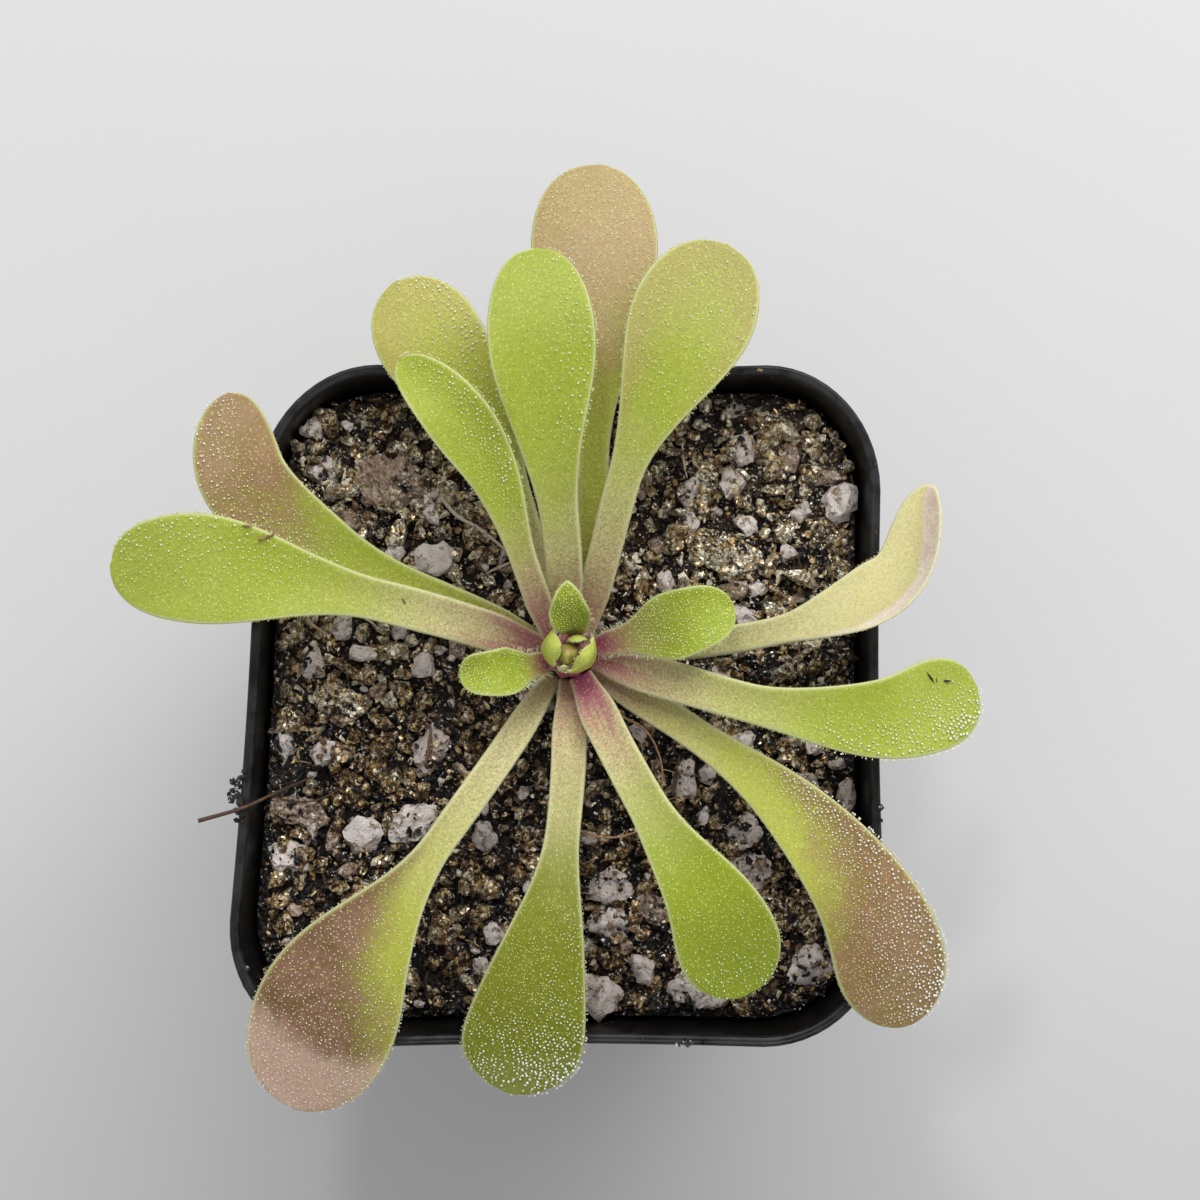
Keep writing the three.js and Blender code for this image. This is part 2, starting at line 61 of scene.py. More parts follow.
# Pot, in millimetres. Insets are measured from the outer face at the same height
POT_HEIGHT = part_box("pot")[1].z / MM
BASE_WIDTH = 57
RIM_BACK_WIDTH = 71
RIM_FRONT_WIDTH = 76
RIM_DEPTH = 78.4
RIM_BACK_SHIFT = 1
RIM_FRONT_SHIFT = -1
RIM_CORNER_RADIUS = 14.5
BASE_CORNER_RADIUS = 10
SIDE_BOW = 0.45
BAND_STEP = 1
WALL = 1
FLOOR = 1.5
CORNER_STEPS = 14
SIDE_STEPS = 18
DRAIN_RADIUS = 3.5
DRAIN_REACH = 16
DRAIN_SIDES = 32
DRAIN_CUTTER_HEIGHT = 8

# The pot's section as pairs of height and inset, from under the base over the lip to the inside
# floor. The lip carries a shallow moulded groove
POT_SECTION = [
    (0, BAND_STEP + 1.2), (0.12, BAND_STEP + 0.45), (0.5, BAND_STEP), (4, BAND_STEP),
    (16, BAND_STEP), (28, BAND_STEP), (40, BAND_STEP), (52, BAND_STEP),
    (60.8, BAND_STEP), (61, BAND_STEP - 0.1), (61.25, 0.3), (61.6, 0.02), (62, 0), (65.5, 0),
    (69.3, 0), (69.7, 0.08), (69.92, 0.26), (70, 0.44), (69.99, 0.54), (69.94, 0.62),
    (69.94, 0.7), (69.99, 0.78), (69.98, 0.98), (69.9, 1.14), (69.6, 1.26), (69, 1.3),
    (66, 1.2), (61.4, WALL), (60.4, BAND_STEP + WALL),
    (42, BAND_STEP + WALL), (23, BAND_STEP + WALL), (4, BAND_STEP + WALL),
    (2, BAND_STEP + WALL + 0.35), (FLOOR, BAND_STEP + WALL + 1.1),
]

# Soil, in millimetres
SOIL_TOP = 63
SOIL_WAVE = 0.5
CROWN_DIP = 1
CROWN_DIP_RADIUS = 7
SOIL_RINGS = 30
SOIL_SECTION = [(1.8, 3.4), (4, 2.3), (23, 2.3), (42, 2.3), (60.4, 2.3), (61.7, 1.3)]

# Crown, in millimetres: the short stem that carries every leaf. FLUTE_DEPTH is a share of its radius
CROWN_X = 0.7
CROWN_Y = 5.8
CROWN_SIDES = 36
CROWN_FLUTES = 9
BUD_TIP_FLUTES = 3
FLUTE_DEPTH = 0.06
CROWN_SECTION = [
    (51, 0.3), (52, 0.5), (57, 1.2), (60, 1.45), (62.5, 2), (64.5, 2.4), (66.5, 2.7), (68, 2.7),
    (69.4, 2.3), (70.4, 1.9), (71.1, 1.5), (71.5, 0.9), (71.6, 0.3),
]

# Leaf sections, in millimetres, shares and counts
BLADE_THICKNESS = 0.75
STALK_THICKNESS = 1.15
MARGIN_THICKNESS = 0.35
MARGIN_THINNING = 0.8
BASE_WIDTH_SHARE = 0.62
BASE_LENGTH_SHARE = 0.16
STALK_CHANNEL = 0.16
ROLL_START = 0.35
ROLL_LENGTH = 0.4
LEAF_ROWS = 48
LEAF_STRIPS = 10
TIP_ROWS = 16

# Unevenness of a leaf: two depths in millimetres, a share of its width, and for each of the three
# how far its wave runs over the leaf's length, in radians
RIPPLE_DEPTH = 0.22
RIPPLE_WAVES = 23
DIMPLE_DEPTH = 0.16
DIMPLE_WAVES = 11
UNEVEN_WIDTH = 0.02
UNEVEN_WAVES = 17

# Drops and hairs, in millimetres and shares. BARE_BASE is the part of a leaf's length, at its foot,
# that carries none
BARE_BASE = 0.03
DEW_ROW_SHARE = 0.87
DEW_EDGE_GAP = 0.35
DEW_STRAY = 0.16
FRINGE_SPACING = 0.36
HAIR_SPACING = 0.2
HAIR_RADIUS = 0.022
EDGE_DROP_SHARE = 0.8
HAIR_DROP_SHRINK = 3.5

# The radius from which a drop starts to look clear, and the one from which it does, in millimetres. Clear
# drops are painted near white, as painted light
CLEAR_DROP = (0.07, 0.12)
UP = np.array([0.0, 0.0, 1.0])

# Camera: straight above the middle of the pot
CAMERA_PLACE = (0, 0, 0.41)
CAMERA_AIM = (0.0042, 0.012, 0.07)
CAMERA_LENS = 89.04
CAMERA_SENSOR = 36

# The card under the pot, in metres
FLOOR_WIDTH = 4

# Window light: large and soft, from above and behind the pot
WINDOW_PLACE = (0.2, 0.52, 0.6)
WINDOW_AIM = (0, 0, 0.05)
WINDOW_WIDTH = 0.7
WINDOW_HEIGHT = 0.5

# A small lamp beside the window, which puts the glints on whatever is wet
LAMP_PLACE = (-0.12, 0.42, 0.8)
LAMP_SIZE = 0.07


def srgb(red, green, blue):
    """A colour given as 0 to 255 on a screen, as the linear values that shaders use."""
    shares = np.array([red, green, blue]) / 255
    low = shares / 12.92
    high = ((shares + 0.055) / 1.055) ** 2.4
    return tuple(np.where(shares <= 0.04045, low, high))


class Leaf(NamedTuple):
    """A leaf: millimetres across and along its path, shares of its length, and its colours by name."""

    name: str
    path: list
    stalk: float
    blade: float
    neck: float
    broad: float
    taper: float = 0.44
    roll: float = 0
    cup: float = 0.05
    flesh: float = 1
    across: tuple = ()
    slot: str = "green_leaf"
    blade_colour: str = "fresh_green"
    stalk_colour: str = "stalk_tan"
    flush_colour: str = "pink_brown"
    flush: float = 0
    flush_start: float = 0.5
    flush_full: float = 0.75
    flush_lean: float = 0
    flush_rim: float = 0
    # How much light from the pale floor is painted into the blade beyond the pot's rim, as if shining through
    # it, and in which colour
    painted_glow: float = 0.04
    painted_glow_colour: str = "margin_pale"
    purple: float = 0.6
    purple_reach: float = 0.24
    dots: float = 0.5
    dew_spacing: float = 0.8
    dew_size: float = 0.6
    dew_lean: float = 0
    dew_tip: float = 0
    hair: float = 0


LARGE_LEAVES = [
    Leaf(
        "leaf_back_lower",
        [(1.4, 8.3, 64.2), (3, 19, 71), (3.5, 32, 75), (3.5, 47, 76), (3.5, 61.5, 73.5)],
        stalk=3.4, blade=14.8, neck=0.4, broad=0.84, cup=-0.05, slot="blushed_leaf",
        blade_colour="yellow_green", stalk_colour="olive_green", flush=0.8, flush_start=0.42,
        flush_full=0.72, purple=0.25, dew_spacing=0.72, dew_size=0.42, painted_glow=0.1, flush_rim=-0.1,
    ),
    Leaf(
        "leaf_back_upper",
        [(0.1, 8.4, 68.3), (0, 16.5, 75), (-1.5, 29.5, 81.5), (-2.5, 41.5, 84), (-3, 50.5, 82.5)],
        stalk=4.2, blade=12, neck=0.33, broad=0.8, purple=0.45, purple_reach=0.22, dew_spacing=0.85,
        dew_lean=0.5, painted_glow=0.04, dew_size=0.45,
    ),
    Leaf(
        "leaf_back_right",
        [(2.2, 7.8, 66.8), (4.5, 16.5, 73), (7.5, 27.5, 78), (13, 40.3, 80.5), (18.4, 51.6, 78)],
        stalk=3.7, blade=13.8, neck=0.42, broad=0.82, flush=0.45, flush_start=0.62, flush_full=1.05,
        flush_lean=-0.1, purple=0.45, dew_size=0.5, flush_rim=0.3,
    ),
    Leaf(
        "leaf_back_left_lower",
        [(-0.6, 8, 65.3), (-3.5, 18, 70.5), (-7.2, 29, 74.5), (-14.6, 40.5, 75.5), (-19, 48, 73.5)],
        stalk=3.2, blade=12.2, neck=0.4, broad=0.82, cup=0, slot="blushed_leaf",
        blade_colour="yellow_green", flush=0.32, flush_start=0.7, flush_full=1, flush_lean=-0.14,
        purple=0.3, dew_spacing=0.72, dew_size=0.5, dew_lean=0.5, flush_rim=0.2,
    ),
    Leaf(
        "leaf_back_left_upper",
        [(-1.5, 7.8, 70.3), (-4.2, 15.5, 76.8), (-8, 26, 82), (-13, 33, 85), (-18, 38, 83.5)],
        stalk=3, blade=7.2, neck=0.3, broad=0.74, cup=0.15, purple=0.75, purple_reach=0.28,
        dew_spacing=0.56, dew_size=0.46, dew_lean=0.4,
    ),
    Leaf(
        "leaf_left_back",
        [(-1.9, 7.1, 63.9), (-14, 12.5, 71), (-26.5, 17.6, 75), (-35.8, 25, 75.5), (-38, 35.4, 72.5)],
        stalk=3.2, blade=10.2, neck=0.32, broad=0.78, slot="blushed_leaf", stalk_colour="olive_green",
        flush=0.9, flush_start=0.5, flush_full=0.8, purple=0.2, dew_spacing=0.66, dew_size=0.5,
        dew_lean=-0.5, flush_colour="tan_brown",
    ),
    Leaf(
        "leaf_left",
        [(-2.2, 6.4, 67.2), (-14, 10, 76), (-27, 13, 81), (-40, 15, 82), (-50.5, 15.5, 78)],
        stalk=4.6, blade=12.3, neck=0.42, broad=0.81, purple=0.7, purple_reach=0.2, dew_spacing=0.74,
        dew_size=0.5, dew_lean=0.3,
    ),
    # The front left blade's dark mauve brown flush is partly its own colour and partly painted shade, for how
    # dark the blade looks over the pot
    Leaf(
        "leaf_front_left",
        [(-1.1, 3.5, 64.4), (-6.5, -5, 71.5), (-15, -17, 75.5), (-24.5, -30.5, 75.5), (-31, -45.5, 71)],
        stalk=3.5, blade=17, neck=0.42, broad=0.83, cup=-0.05, slot="blushed_leaf",
        blade_colour="yellow_green", flush_colour="mauve_brown", flush=0.92, flush_start=0.47,
        flush_full=0.78, flush_lean=0.22, painted_glow=0.6, painted_glow_colour="pale_pink", purple=0.1,
        dew_spacing=0.6, dew_size=0.45,
    ),
    # The front leaf's blade is painted a deeper green, as painted shade
    Leaf(
        "leaf_front",
        [(0.7, 2.9, 66), (0.5, -8.5, 73.5), (-1, -21, 77), (-3.5, -33, 76), (-6, -44, 70)],
        stalk=3.9, blade=13.8, neck=0.38, broad=0.85, cup=0, blade_colour="deep_green",
        painted_glow=0.08, purple=0.45, purple_reach=0.2, dew_spacing=0.5, dew_size=0.42, dew_lean=-0.25,
        dew_tip=0.85,
    ),
    Leaf(
        "leaf_front_right_upper",
        [(2, 3.3, 68), (6, -5, 75.5), (11, -14, 80.5), (16.5, -22.5, 81), (20.5, -32.5, 75.5)],
        stalk=4.4, blade=11.6, neck=0.42, broad=0.84, blade_colour="vivid_green", purple=1,
        purple_reach=0.24, dew_spacing=0.66, dew_size=0.4, dew_tip=0.3,
    ),
    Leaf(
        "leaf_front_right_lower",
        [(3, 4.2, 64.6), (13, -2, 72), (25.3, -11.3, 76.5), (34.3, -22.6, 77), (39, -36.3, 72)],
        stalk=3.7, blade=12.6, neck=0.25, broad=0.86, cup=0, slot="blushed_leaf",
        blade_colour="yellow_green", stalk_colour="stalk_tan", flush=0.9, flush_start=0.45,
        flush_full=0.72, flush_lean=-0.16, purple=0.35, dew_spacing=0.5, dew_size=0.5, dew_lean=-0.6,
        dew_tip=0.2, flush_colour="tan_brown",
    ),
    Leaf(
        "leaf_right",
        [(3.4, 5.4, 66.7), (13, 2.5, 74.5), (24, -0.5, 78.5), (36.5, -1.5, 78), (47, 2, 72.5)],
        stalk=4.4, blade=10.4, neck=0.42, broad=0.86, purple=0.75, purple_reach=0.22,
        dew_spacing=0.54, dew_size=0.48, dew_lean=0.6, dew_tip=0.3,
    ),
    Leaf(
        "leaf_right_back",
        [(3.3, 6.9, 64.5), (15.5, 7, 70.5), (29, 9.6, 74.5), (38.4, 14, 75), (41.8, 25, 73)],
        stalk=3.2, blade=8.4, neck=0.45, broad=0.72, taper=0.5, roll=-38, cup=0.2,
        slot="blushed_leaf", blade_colour="pale_cream", stalk_colour="stalk_cream",
        flush_colour="pink_white", flush=0.85, flush_start=0.9, flush_full=1, purple=0.2,
        dots=0.15, dew_spacing=0.9, dew_size=0.4, flush_lean=0.42,
    ),
]

YOUNG_LEAVES = [
    Leaf(
        "young_leaf_left",
        [(-1.8, 5, 68.8), (-3.6, 4.4, 72), (-5.6, 3.9, 75.2), (-8.2, 3.5, 77.3), (-11.6, 3.6, 76.5)],
        stalk=2.8, blade=5.4, neck=0.25, broad=0.68, cup=0.2, flesh=0.75, blade_colour="young_green",
        stalk_colour="olive_green", purple=1, purple_reach=0.3, dots=0.75, dew_spacing=0.42,
        dew_size=0.42, hair=0.7,
    ),
    Leaf(
        "young_leaf_right",
        [(3.2, 6.6, 68.4), (7, 7.5, 73), (11, 8.5, 77.5), (14.5, 9.5, 80), (19, 11, 79)],
        stalk=2.8, blade=7.8, neck=0.22, broad=0.7, cup=0.1, flesh=0.75, blade_colour="young_green",
        purple=1, purple_reach=0.4, dots=0.75, dew_spacing=0.42, dew_size=0.42, hair=0.6,
    ),
    Leaf(
        "young_leaf_back",
        [(1.3, 8.2, 70.7), (1.2, 9.1, 73.5), (0.7, 10.2, 76), (0.5, 11.9, 78), (0.4, 13.8, 78.5)],
        stalk=2.6, blade=4.7, neck=0.12, broad=0.58, taper=0.72, cup=0.15, flesh=0.75,
        blade_colour="vivid_green", purple=0.5, purple_reach=0.2, dots=0.75, dew_spacing=0.4,
        dew_size=0.42, hair=0.55,
    ),
]

BUD_LEAVES = [
    Leaf(
        "bud_leaf_left",
        [(-0.9, 6.2, 71), (-2, 6.3, 72.6), (-2.2, 6.4, 74.5), (-1.6, 6.5, 76), (-0.4, 6.4, 76.5)],
        stalk=3.3, blade=4.1, neck=0.1, broad=0.6, cup=0.3, flesh=0.6, across=(0, 1, 0),
        blade_colour="bud_green", stalk_colour="pale_pink", purple=0.3, dots=0.2, dew_spacing=0.5,
        dew_size=0.3, hair=0.25,
    ),
    Leaf(
        "bud_leaf_right",
        [(2.3, 5.2, 71), (3, 4.9, 72.6), (3.2, 4.8, 74.4), (2.8, 5, 75.9), (1.9, 5.6, 76.4)],
        stalk=3.8, blade=4.9, neck=0.1, broad=0.6, cup=0.34, flesh=0.6, across=(-0.57, -0.82, 0),
        blade_colour="bud_green", stalk_colour="pale_pink", purple=0.3, dots=0.7, dew_spacing=0.42,
        dew_size=0.5, hair=0.4,
    ),
    Leaf(
        "bud_leaf_back",
        [(1.5, 7.2, 71), (1.6, 7.55, 72.4), (1.6, 7.7, 73.8), (1.5, 7.55, 75), (1.3, 7.1, 75.5)],
        stalk=1.8, blade=2.3, neck=0.1, broad=0.6, cup=0.2, flesh=0.6, across=(1, 0, 0),
        blade_colour="bud_green", stalk_colour="bud_green", purple=0.3, dots=0.2, dew_spacing=0.5,
        dew_size=0.3,
    ),
    Leaf(
        "bud_leaf_front",
        [(0, 4.55, 71), (0, 4.05, 72.2), (0, 3.85, 73.2), (0, 4.05, 74.2), (0.1, 4.45, 74.6)],
        stalk=1.2, blade=1.4, neck=0.1, broad=0.6, cup=0.2, flesh=0.6, across=(-1, 0, 0),
        blade_colour="stalk_tan", stalk_colour="pale_pink", purple=0.4, dots=0.2, dew_spacing=0.5,
        dew_size=0.3,
    ),
]
BUD_TIP_X = 0.5
BUD_TIP_Y = 5.75
BUD_TIP_BOTTOM = 70.8
BUD_TIP_SECTION = [
    (0, 0.1), (0.2, 0.5), (0.8, 0.85), (1.6, 1.12), (2.4, 1.24), (3.1, 1.18), (3.7, 0.95),
    (4.1, 0.62), (4.32, 0.3), (4.36, 0.05),
]
BUD_TIP_SIDES = 24

# Dark flecks that lie on the leaves: the leaf, shares along and across it, and millimetres
FLECKS = [
    ("leaf_left", 0.37, 0.28, 0.5), ("leaf_left", 0.67, 0.88, 0.9), ("leaf_left", 0.71, 0.95, 0.7),
    ("leaf_right", 0.885, -0.6, 0.6), ("leaf_right", 0.925, -0.42, 0.7), ("leaf_right", 0.9, -0.5, 0.4),
]


class Lump(NamedTuple):
    """A big loose grain: its CAD node, its place on the pot's plan, its size, and its turn in degrees."""

    node: str
    at: tuple
    size: tuple
    turn: float


LUMPS = {
    "perlite": [
        Lump("perlite_1", (20.3, 34.3), (4.2, 3.4, 3.4), 10),
        Lump("perlite_2", (20.9, 30), (3.4, 3.9, 3.2), 0),
        Lump("perlite_3", (14.8, 25.1), (3.4, 2.8, 2.8), 20),
        Lump("perlite_4", (-28.4, 27), (3.6, 4.6, 3.6), 30),
        Lump("perlite_5", (-27.6, -5.5), (4.6, 4, 3.6), 15),
        Lump("perlite_6", (-32.5, -4.4), (3, 5.2, 3.4), 0),
        Lump("perlite_7", (-15.5, -4.9), (3.8, 5.6, 3.4), -10),
        Lump("perlite_8", (5.2, -20.8), (5.4, 3.8, 3.4), 12),
        Lump("perlite_9", (5.4, -25.6), (5.8, 4, 3.6), -8),
        Lump("perlite_10", (15.9, -33), (6.6, 5, 4.2), 12),
        Lump("perlite_11", (28.3, -30.8), (5.4, 6, 4.4), 10),
        Lump("perlite_12", (21.3, -14.7), (4, 3.5, 3.2), 20),
        Lump("perlite_13", (21.7, -19), (4.6, 3.6, 3.4), -12),
        Lump("perlite_14", (19.7, 25.6), (3, 3.6, 3), 5),
        Lump("perlite_15", (14.2, -8.5), (2.6, 4, 2.8), 15),
        Lump("perlite_16", (-29, 4.6), (3.1, 3.5, 3), 0),
        Lump("perlite_17", (-17.6, -13.4), (5.6, 4.2, 3.4), 20),
        Lump("perlite_18", (-32.3, -18.4), (4.2, 4.8, 3.6), -20),
    ],
    "vermiculite": [
        Lump("vermiculite_1", (-25.6, -0.2), (5.6, 4, 3), -28),
        Lump("vermiculite_2", (18.8, 18.1), (7.4, 4, 3), -27),
        Lump("vermiculite_3", (27.6, -24.5), (4, 4, 3), 60),
        Lump("vermiculite_4", (-22.6, 33.8), (3, 3.6, 2.6), 70),
        Lump("vermiculite_5", (30.9, 19.4), (4.8, 3.6, 2.8), -8),
        Lump("vermiculite_6", (-24.8, -9.8), (3, 3.8, 2.4), 35),
    ],
    "bark": [
        Lump("bark_1", (-20, 26.1), (6.4, 6, 4), 35),
        Lump("bark_2", (-31.5, -12.4), (5, 3.2, 3), -8),
    ],
}
LUMP_RISE = 0.05

# Smaller grains with a place of their own: their place on the pot's plan and their size
GRAINS = {
    "perlite": [
        (-23.2, -15.1, 4.1), (-29.3, -14.5, 1.9), (-9.3, -15.3, 4), (-8.3, -26.3, 3.5), (-16.3, 5, 3),
        (14.8, 21.2, 2.6), (21.2, 21, 2.6), (28, 22.7, 2.6), (26.6, 17.8, 2.6), (16.8, -7.9, 2.8),
        (9.5, -31, 4.2), (28.9, -8.9, 2.4), (29.3, -4.9, 3), (-15.5, 16.7, 4.2), (-19.6, 17.3, 3.2),
        (-23.6, 5.8, 3.4), (32, 24, 4), (33, -10.6, 3.8), (4.3, -33.6, 4.6), (-29, 32, 3.6),
    ],
    "vermiculite": [
        (-20.4, 0.2, 2.6), (-11.4, -1.4, 2.8), (-11.4, -3.8, 2), (-9.1, -21.7, 3.4), (-5.6, -19.4, 2.6),
        (-16.1, -10.1, 2.6), (-13.7, -26.3, 4), (-25.4, 4.4, 2.6), (24.4, 31.2, 4.4), (33, 27.6, 2.3),
        (27.9, 14.9, 3.4), (24.7, 27.6, 3.2), (15.9, 32.8, 2.4), (12.7, 18.5, 2.2), (23.2, 22.6, 2),
        (24.3, 16.4, 2.4), (29.2, 30.4, 3.2), (16.5, 35, 2.2), (16.8, -10.4, 2.3), (6.6, -29.4, 2.3),
        (9.1, -26.7, 2), (13.3, -29.8, 2.4), (24.1, -4.6, 2.6), (24.3, -21.9, 2), (28.4, -21.4, 1.9),
        (6.2, -31.6, 2), (8.9, -34.4, 2), (-19.5, 34.6, 2.4), (-24.9, 25.4, 3.4), (-26.3, 23, 2.2),
        (-18.4, 22.2, 1.8), (-18.2, 31, 2.6), (-10, 22.3, 4), (-12.6, 17.7, 2.6), (-31, 30, 1.5),
        (31.8, 16, 2.6), (5, 11.6, 2), (9.4, 14.8, 2.2),
    ],
    "bark": [
        (-28.6, -12.8, 2.6), (31.2, 26.8, 2.8), (26.5, 29, 2.6), (20, 13.4, 2.8), (-25.4, 21.5, 3.2),
        (10.1, -23.8, 3.8),
    ],
}

# Crumbs of soil that cling to the pot's lip: place and size
LIP_CRUMBS = [
    (-36.9, -8.4, 69.9, 1.2), (-37.1, -9.3, 69.6, 1.4), (-37.1, -10.3, 69.9, 1.3), (-36.9, -11.1, 70.2, 1.4),
    (-37.8, -9.8, 69.3, 1.2), (-37.2, -12.2, 69.9, 1.3), (-36.6, -12.6, 70.3, 0.9), (-37.9, -10.8, 69.5, 1.1),
    (-37.8, -8.8, 69.2, 0.9), (-36.5, -7.6, 70.2, 0.9), (-38.3, -10.2, 69, 0.7), (-37.3, -13.2, 69.5, 0.8),
    (-36.3, -30.1, 69.6, 1.4), (-36.5, -31, 69.4, 1.2), (-36.1, -31.9, 69.6, 1.1), (-35.6, -32.7, 69.3, 0.9),
    (14.2, -38.6, 70.2, 1.5), (16.1, -38.5, 70.3, 1.0), (13.1, -38.7, 70.3, 0.7),
    (22.6, 38.4, 70.1, 0.6), (-8.4, -38.6, 70.2, 0.6), (36.3, -11.8, 70.2, 0.9), (36.4, -13.2, 70.2, 0.6),
]

# How far the bed of fine soil lies below the level that the loose grains make up, and how high
# and wide the mix is banked against the wall at the front and back, all in millimetres
BED_DROP = -0.9
BANK_FRONT = 0.8
BANK_BACK = 2
BANK_WIDTH = 7

# Where along Y the bank turns from its front value to its back value, in millimetres
BANK_TURN = (-25, 30)

# How many random places are drawn for each spaced grain, so that taken ones can be passed over
SPACING_TRIES = 12

# The smallest and the largest of each kind of loose grain, in millimetres
PERLITE_SIZES = (1.2, 3.4)
CHIP_SIZES = (0.8, 2.9)
BARK_SIZES = (0.8, 2.4)
CRUMB_SIZES = (0.35, 1.5)
GRIT_SIZES = (0.16, 0.75)
FIBRE_LENGTHS = (1.2, 5.5)


# Shaders


class Field:
    """A value that varies over a surface: a shader socket that takes part in arithmetic."""

    def __init__(self, finish, socket):
        self.finish = finish
        self.socket = socket

    def calculate(self, operation, first, second):
        return self.finish.node("ShaderNodeMath", {"operation": operation}, {0: first, 1: second})

    def __add__(self, other):
        return self.calculate("ADD", self, other)

    def __radd__(self, other):
        return self.calculate("ADD", other, self)

    def __sub__(self, other):
        return self.calculate("SUBTRACT", self, other)

    def __rsub__(self, other):
        return self.calculate("SUBTRACT", other, self)

    def __mul__(self, other):
        return self.calculate("MULTIPLY", self, other)

    def __rmul__(self, other):
        return self.calculate("MULTIPLY", other, self)

    def __abs__(self):
        return self.finish.node("ShaderNodeMath", {"operation": "ABSOLUTE"}, {0: self})


class Finish:
    """A procedural material while it is being made."""

    def __init__(self, name):
        self.material = bpy.data.materials.new(name)
        self.material.use_nodes = True
        self.tree = self.material.node_tree
        self.tree.nodes.clear()

    def node(self, kind, settings=None, sockets=None, output=0):
        """Adds a node, makes its settings, then fills its sockets with values or links."""
        node = self.tree.nodes.new(kind)
        for setting, value in (settings or {}).items():
            if setting == "stops":
                self.set_stops(node.color_ramp, value)
            else:
                setattr(node, setting, value)
        for socket, value in (sockets or {}).items():
            if isinstance(value, Field):
                self.tree.links.new(value.socket, node.inputs[socket])
            else:
                node.inputs[socket].default_value = value
        return Field(self, node.outputs[output])

    def set_stops(self, ramp, stops):
        """Gives a colour ramp these (place, colour) stops, in order."""
        while len(ramp.elements) < len(stops):
            ramp.elements.new(1)
        for element, (place, colour) in zip(ramp.elements, stops):
            element.position = place
            element.color = (*colour, 1)

    def place(self, stretch=(1, 1, 1)):
        """The object's own coordinates, in metres, stretched along its axes."""
        place = self.node("ShaderNodeTexCoord", output="Object")
        if stretch == (1, 1, 1):
            return place
        return self.node("ShaderNodeMapping", None, {"Vector": place, "Scale": stretch})

    def height(self):
        """The height above the ground, in millimetres."""
        return self.part(self.place(), "Z") * (1 / MM)

    def attribute(self, name):
        """A number that the mesh itself carries."""
        return self.node("ShaderNodeAttribute", {"attribute_name": name}, output="Fac")

    def noise(self, size, detail=2, roughness=0.5, distortion=0, stretch=(1, 1, 1)):
        """Soft random values around 0.5, in patches of about this size in millimetres."""
        sockets = {
            "Vector": self.place(stretch),
            "Scale": 1 / (size * MM),
            "Detail": detail,
            "Roughness": roughness,
            "Distortion": distortion,
        }
        return self.node("ShaderNodeTexNoise", {}, sockets, output="Fac")

    def cells(self, size, randomness=1):
        """The distance to the middle of the nearest cell, for cells of this size in millimetres."""
        sockets = {"Vector": self.place(), "Scale": 1 / (size * MM), "Randomness": randomness}
        return self.node("ShaderNodeTexVoronoi", {}, sockets, output="Distance")

    def part(self, vector, axis):
        """One of the three numbers of a vector or a colour."""
        return self.node("ShaderNodeSeparateXYZ", {}, {0: vector}, output=axis)

    def facets(self, size):
        """A random value for each flat facet of this size in millimetres, and heights that tilt it."""
        sockets = {"Vector": self.place(), "Scale": 1 / (size * MM)}
        chance = self.node("ShaderNodeTexVoronoi", {}, sockets, output="Color")
        value, lean_x, lean_y = (self.part(chance, axis) for axis in "XYZ")
        x, y = (self.part(self.place(), axis) * (1 / MM) for axis in "XY")
        return value, (lean_x - 0.5) * x + (lean_y - 0.5) * y

    def streaks(self, across, along, count, seed):
        """Soft random streaks that run along a leaf, with about this many across its half width."""
        place = self.node("ShaderNodeCombineXYZ", {}, {0: across * count, 1: along * 2.5, 2: seed})
        sockets = {"Vector": place, "Scale": 1.0, "Detail": 3.0, "Roughness": 0.6}
        return self.node("ShaderNodeTexNoise", {}, sockets, output="Fac")

    def dots(self, spacing, radius):
        """Small round dots of this radius, one for each cell of this size, in millimetres."""
        share = radius / spacing
        return 1 - self.rise(self.cells(spacing), share * 0.7, share * 1.3)

    def beyond_pot(self):
        """Goes from 0 above the pot to 1 outside its rim."""
        axes = [self.part(self.place(), axis) for axis in "XY"]
        reaches = (RIM_BACK_WIDTH + RIM_FRONT_WIDTH) / 4, RIM_DEPTH / 2
        past = []
        for axis, reach in zip(axes, reaches):
            straight = (reach - RIM_CORNER_RADIUS) * MM
            sockets = {0: abs(axis) - straight, 1: 0.0}
            past.append(self.node("ShaderNodeMath", {"operation": "MAXIMUM"}, sockets))
        squares = past[0] * past[0] + past[1] * past[1]
        distance = self.node("ShaderNodeMath", {"operation": "SQRT"}, {0: squares})
        uneven = (self.noise(3, 3) - 0.5) * 3
        return self.rise(distance * (1 / MM) + uneven, RIM_CORNER_RADIUS - 0.8, RIM_CORNER_RADIUS + 2.4)

    def rise(self, value, low, high):
        """Goes smoothly from 0 to 1 as the value goes from low to high."""
        sockets = {"Value": value, "From Min": low, "From Max": high}
        return self.node("ShaderNodeMapRange", {"interpolation_type": "SMOOTHSTEP"}, sockets)

    def mix(self, factor, first, second, blend="MIX"):
        """Mixes two colours, by an amount from 0 to 1."""
        settings = {"data_type": "RGBA", "blend_type": blend}
        colours = [c if isinstance(c, Field) else (*c, 1) for c in (first, second)]
        return self.node("ShaderNodeMix", settings, {0: factor, 6: colours[0], 7: colours[1]}, output=2)

    def shade(self, colour, brightness):
        """Makes a colour brighter or darker by a factor that varies."""
        scale = self.node("ShaderNodeCombineXYZ", {}, {0: brightness, 1: brightness, 2: brightness})
        return self.node("ShaderNodeVectorMath", {"operation": "MULTIPLY"}, {0: colour, 1: scale})

    def ramp(self, value, stops):
        """Colours along a value, from (place, colour) stops."""
        return self.node("ShaderNodeValToRGB", {"stops": stops}, {0: value})

    def bump(self, height, depth):
        """Dents and bumps of this depth in millimetres, from heights of 0 to 1."""
        return self.node("ShaderNodeBump", {}, {"Height": height, "Distance": depth * MM}, output="Normal")

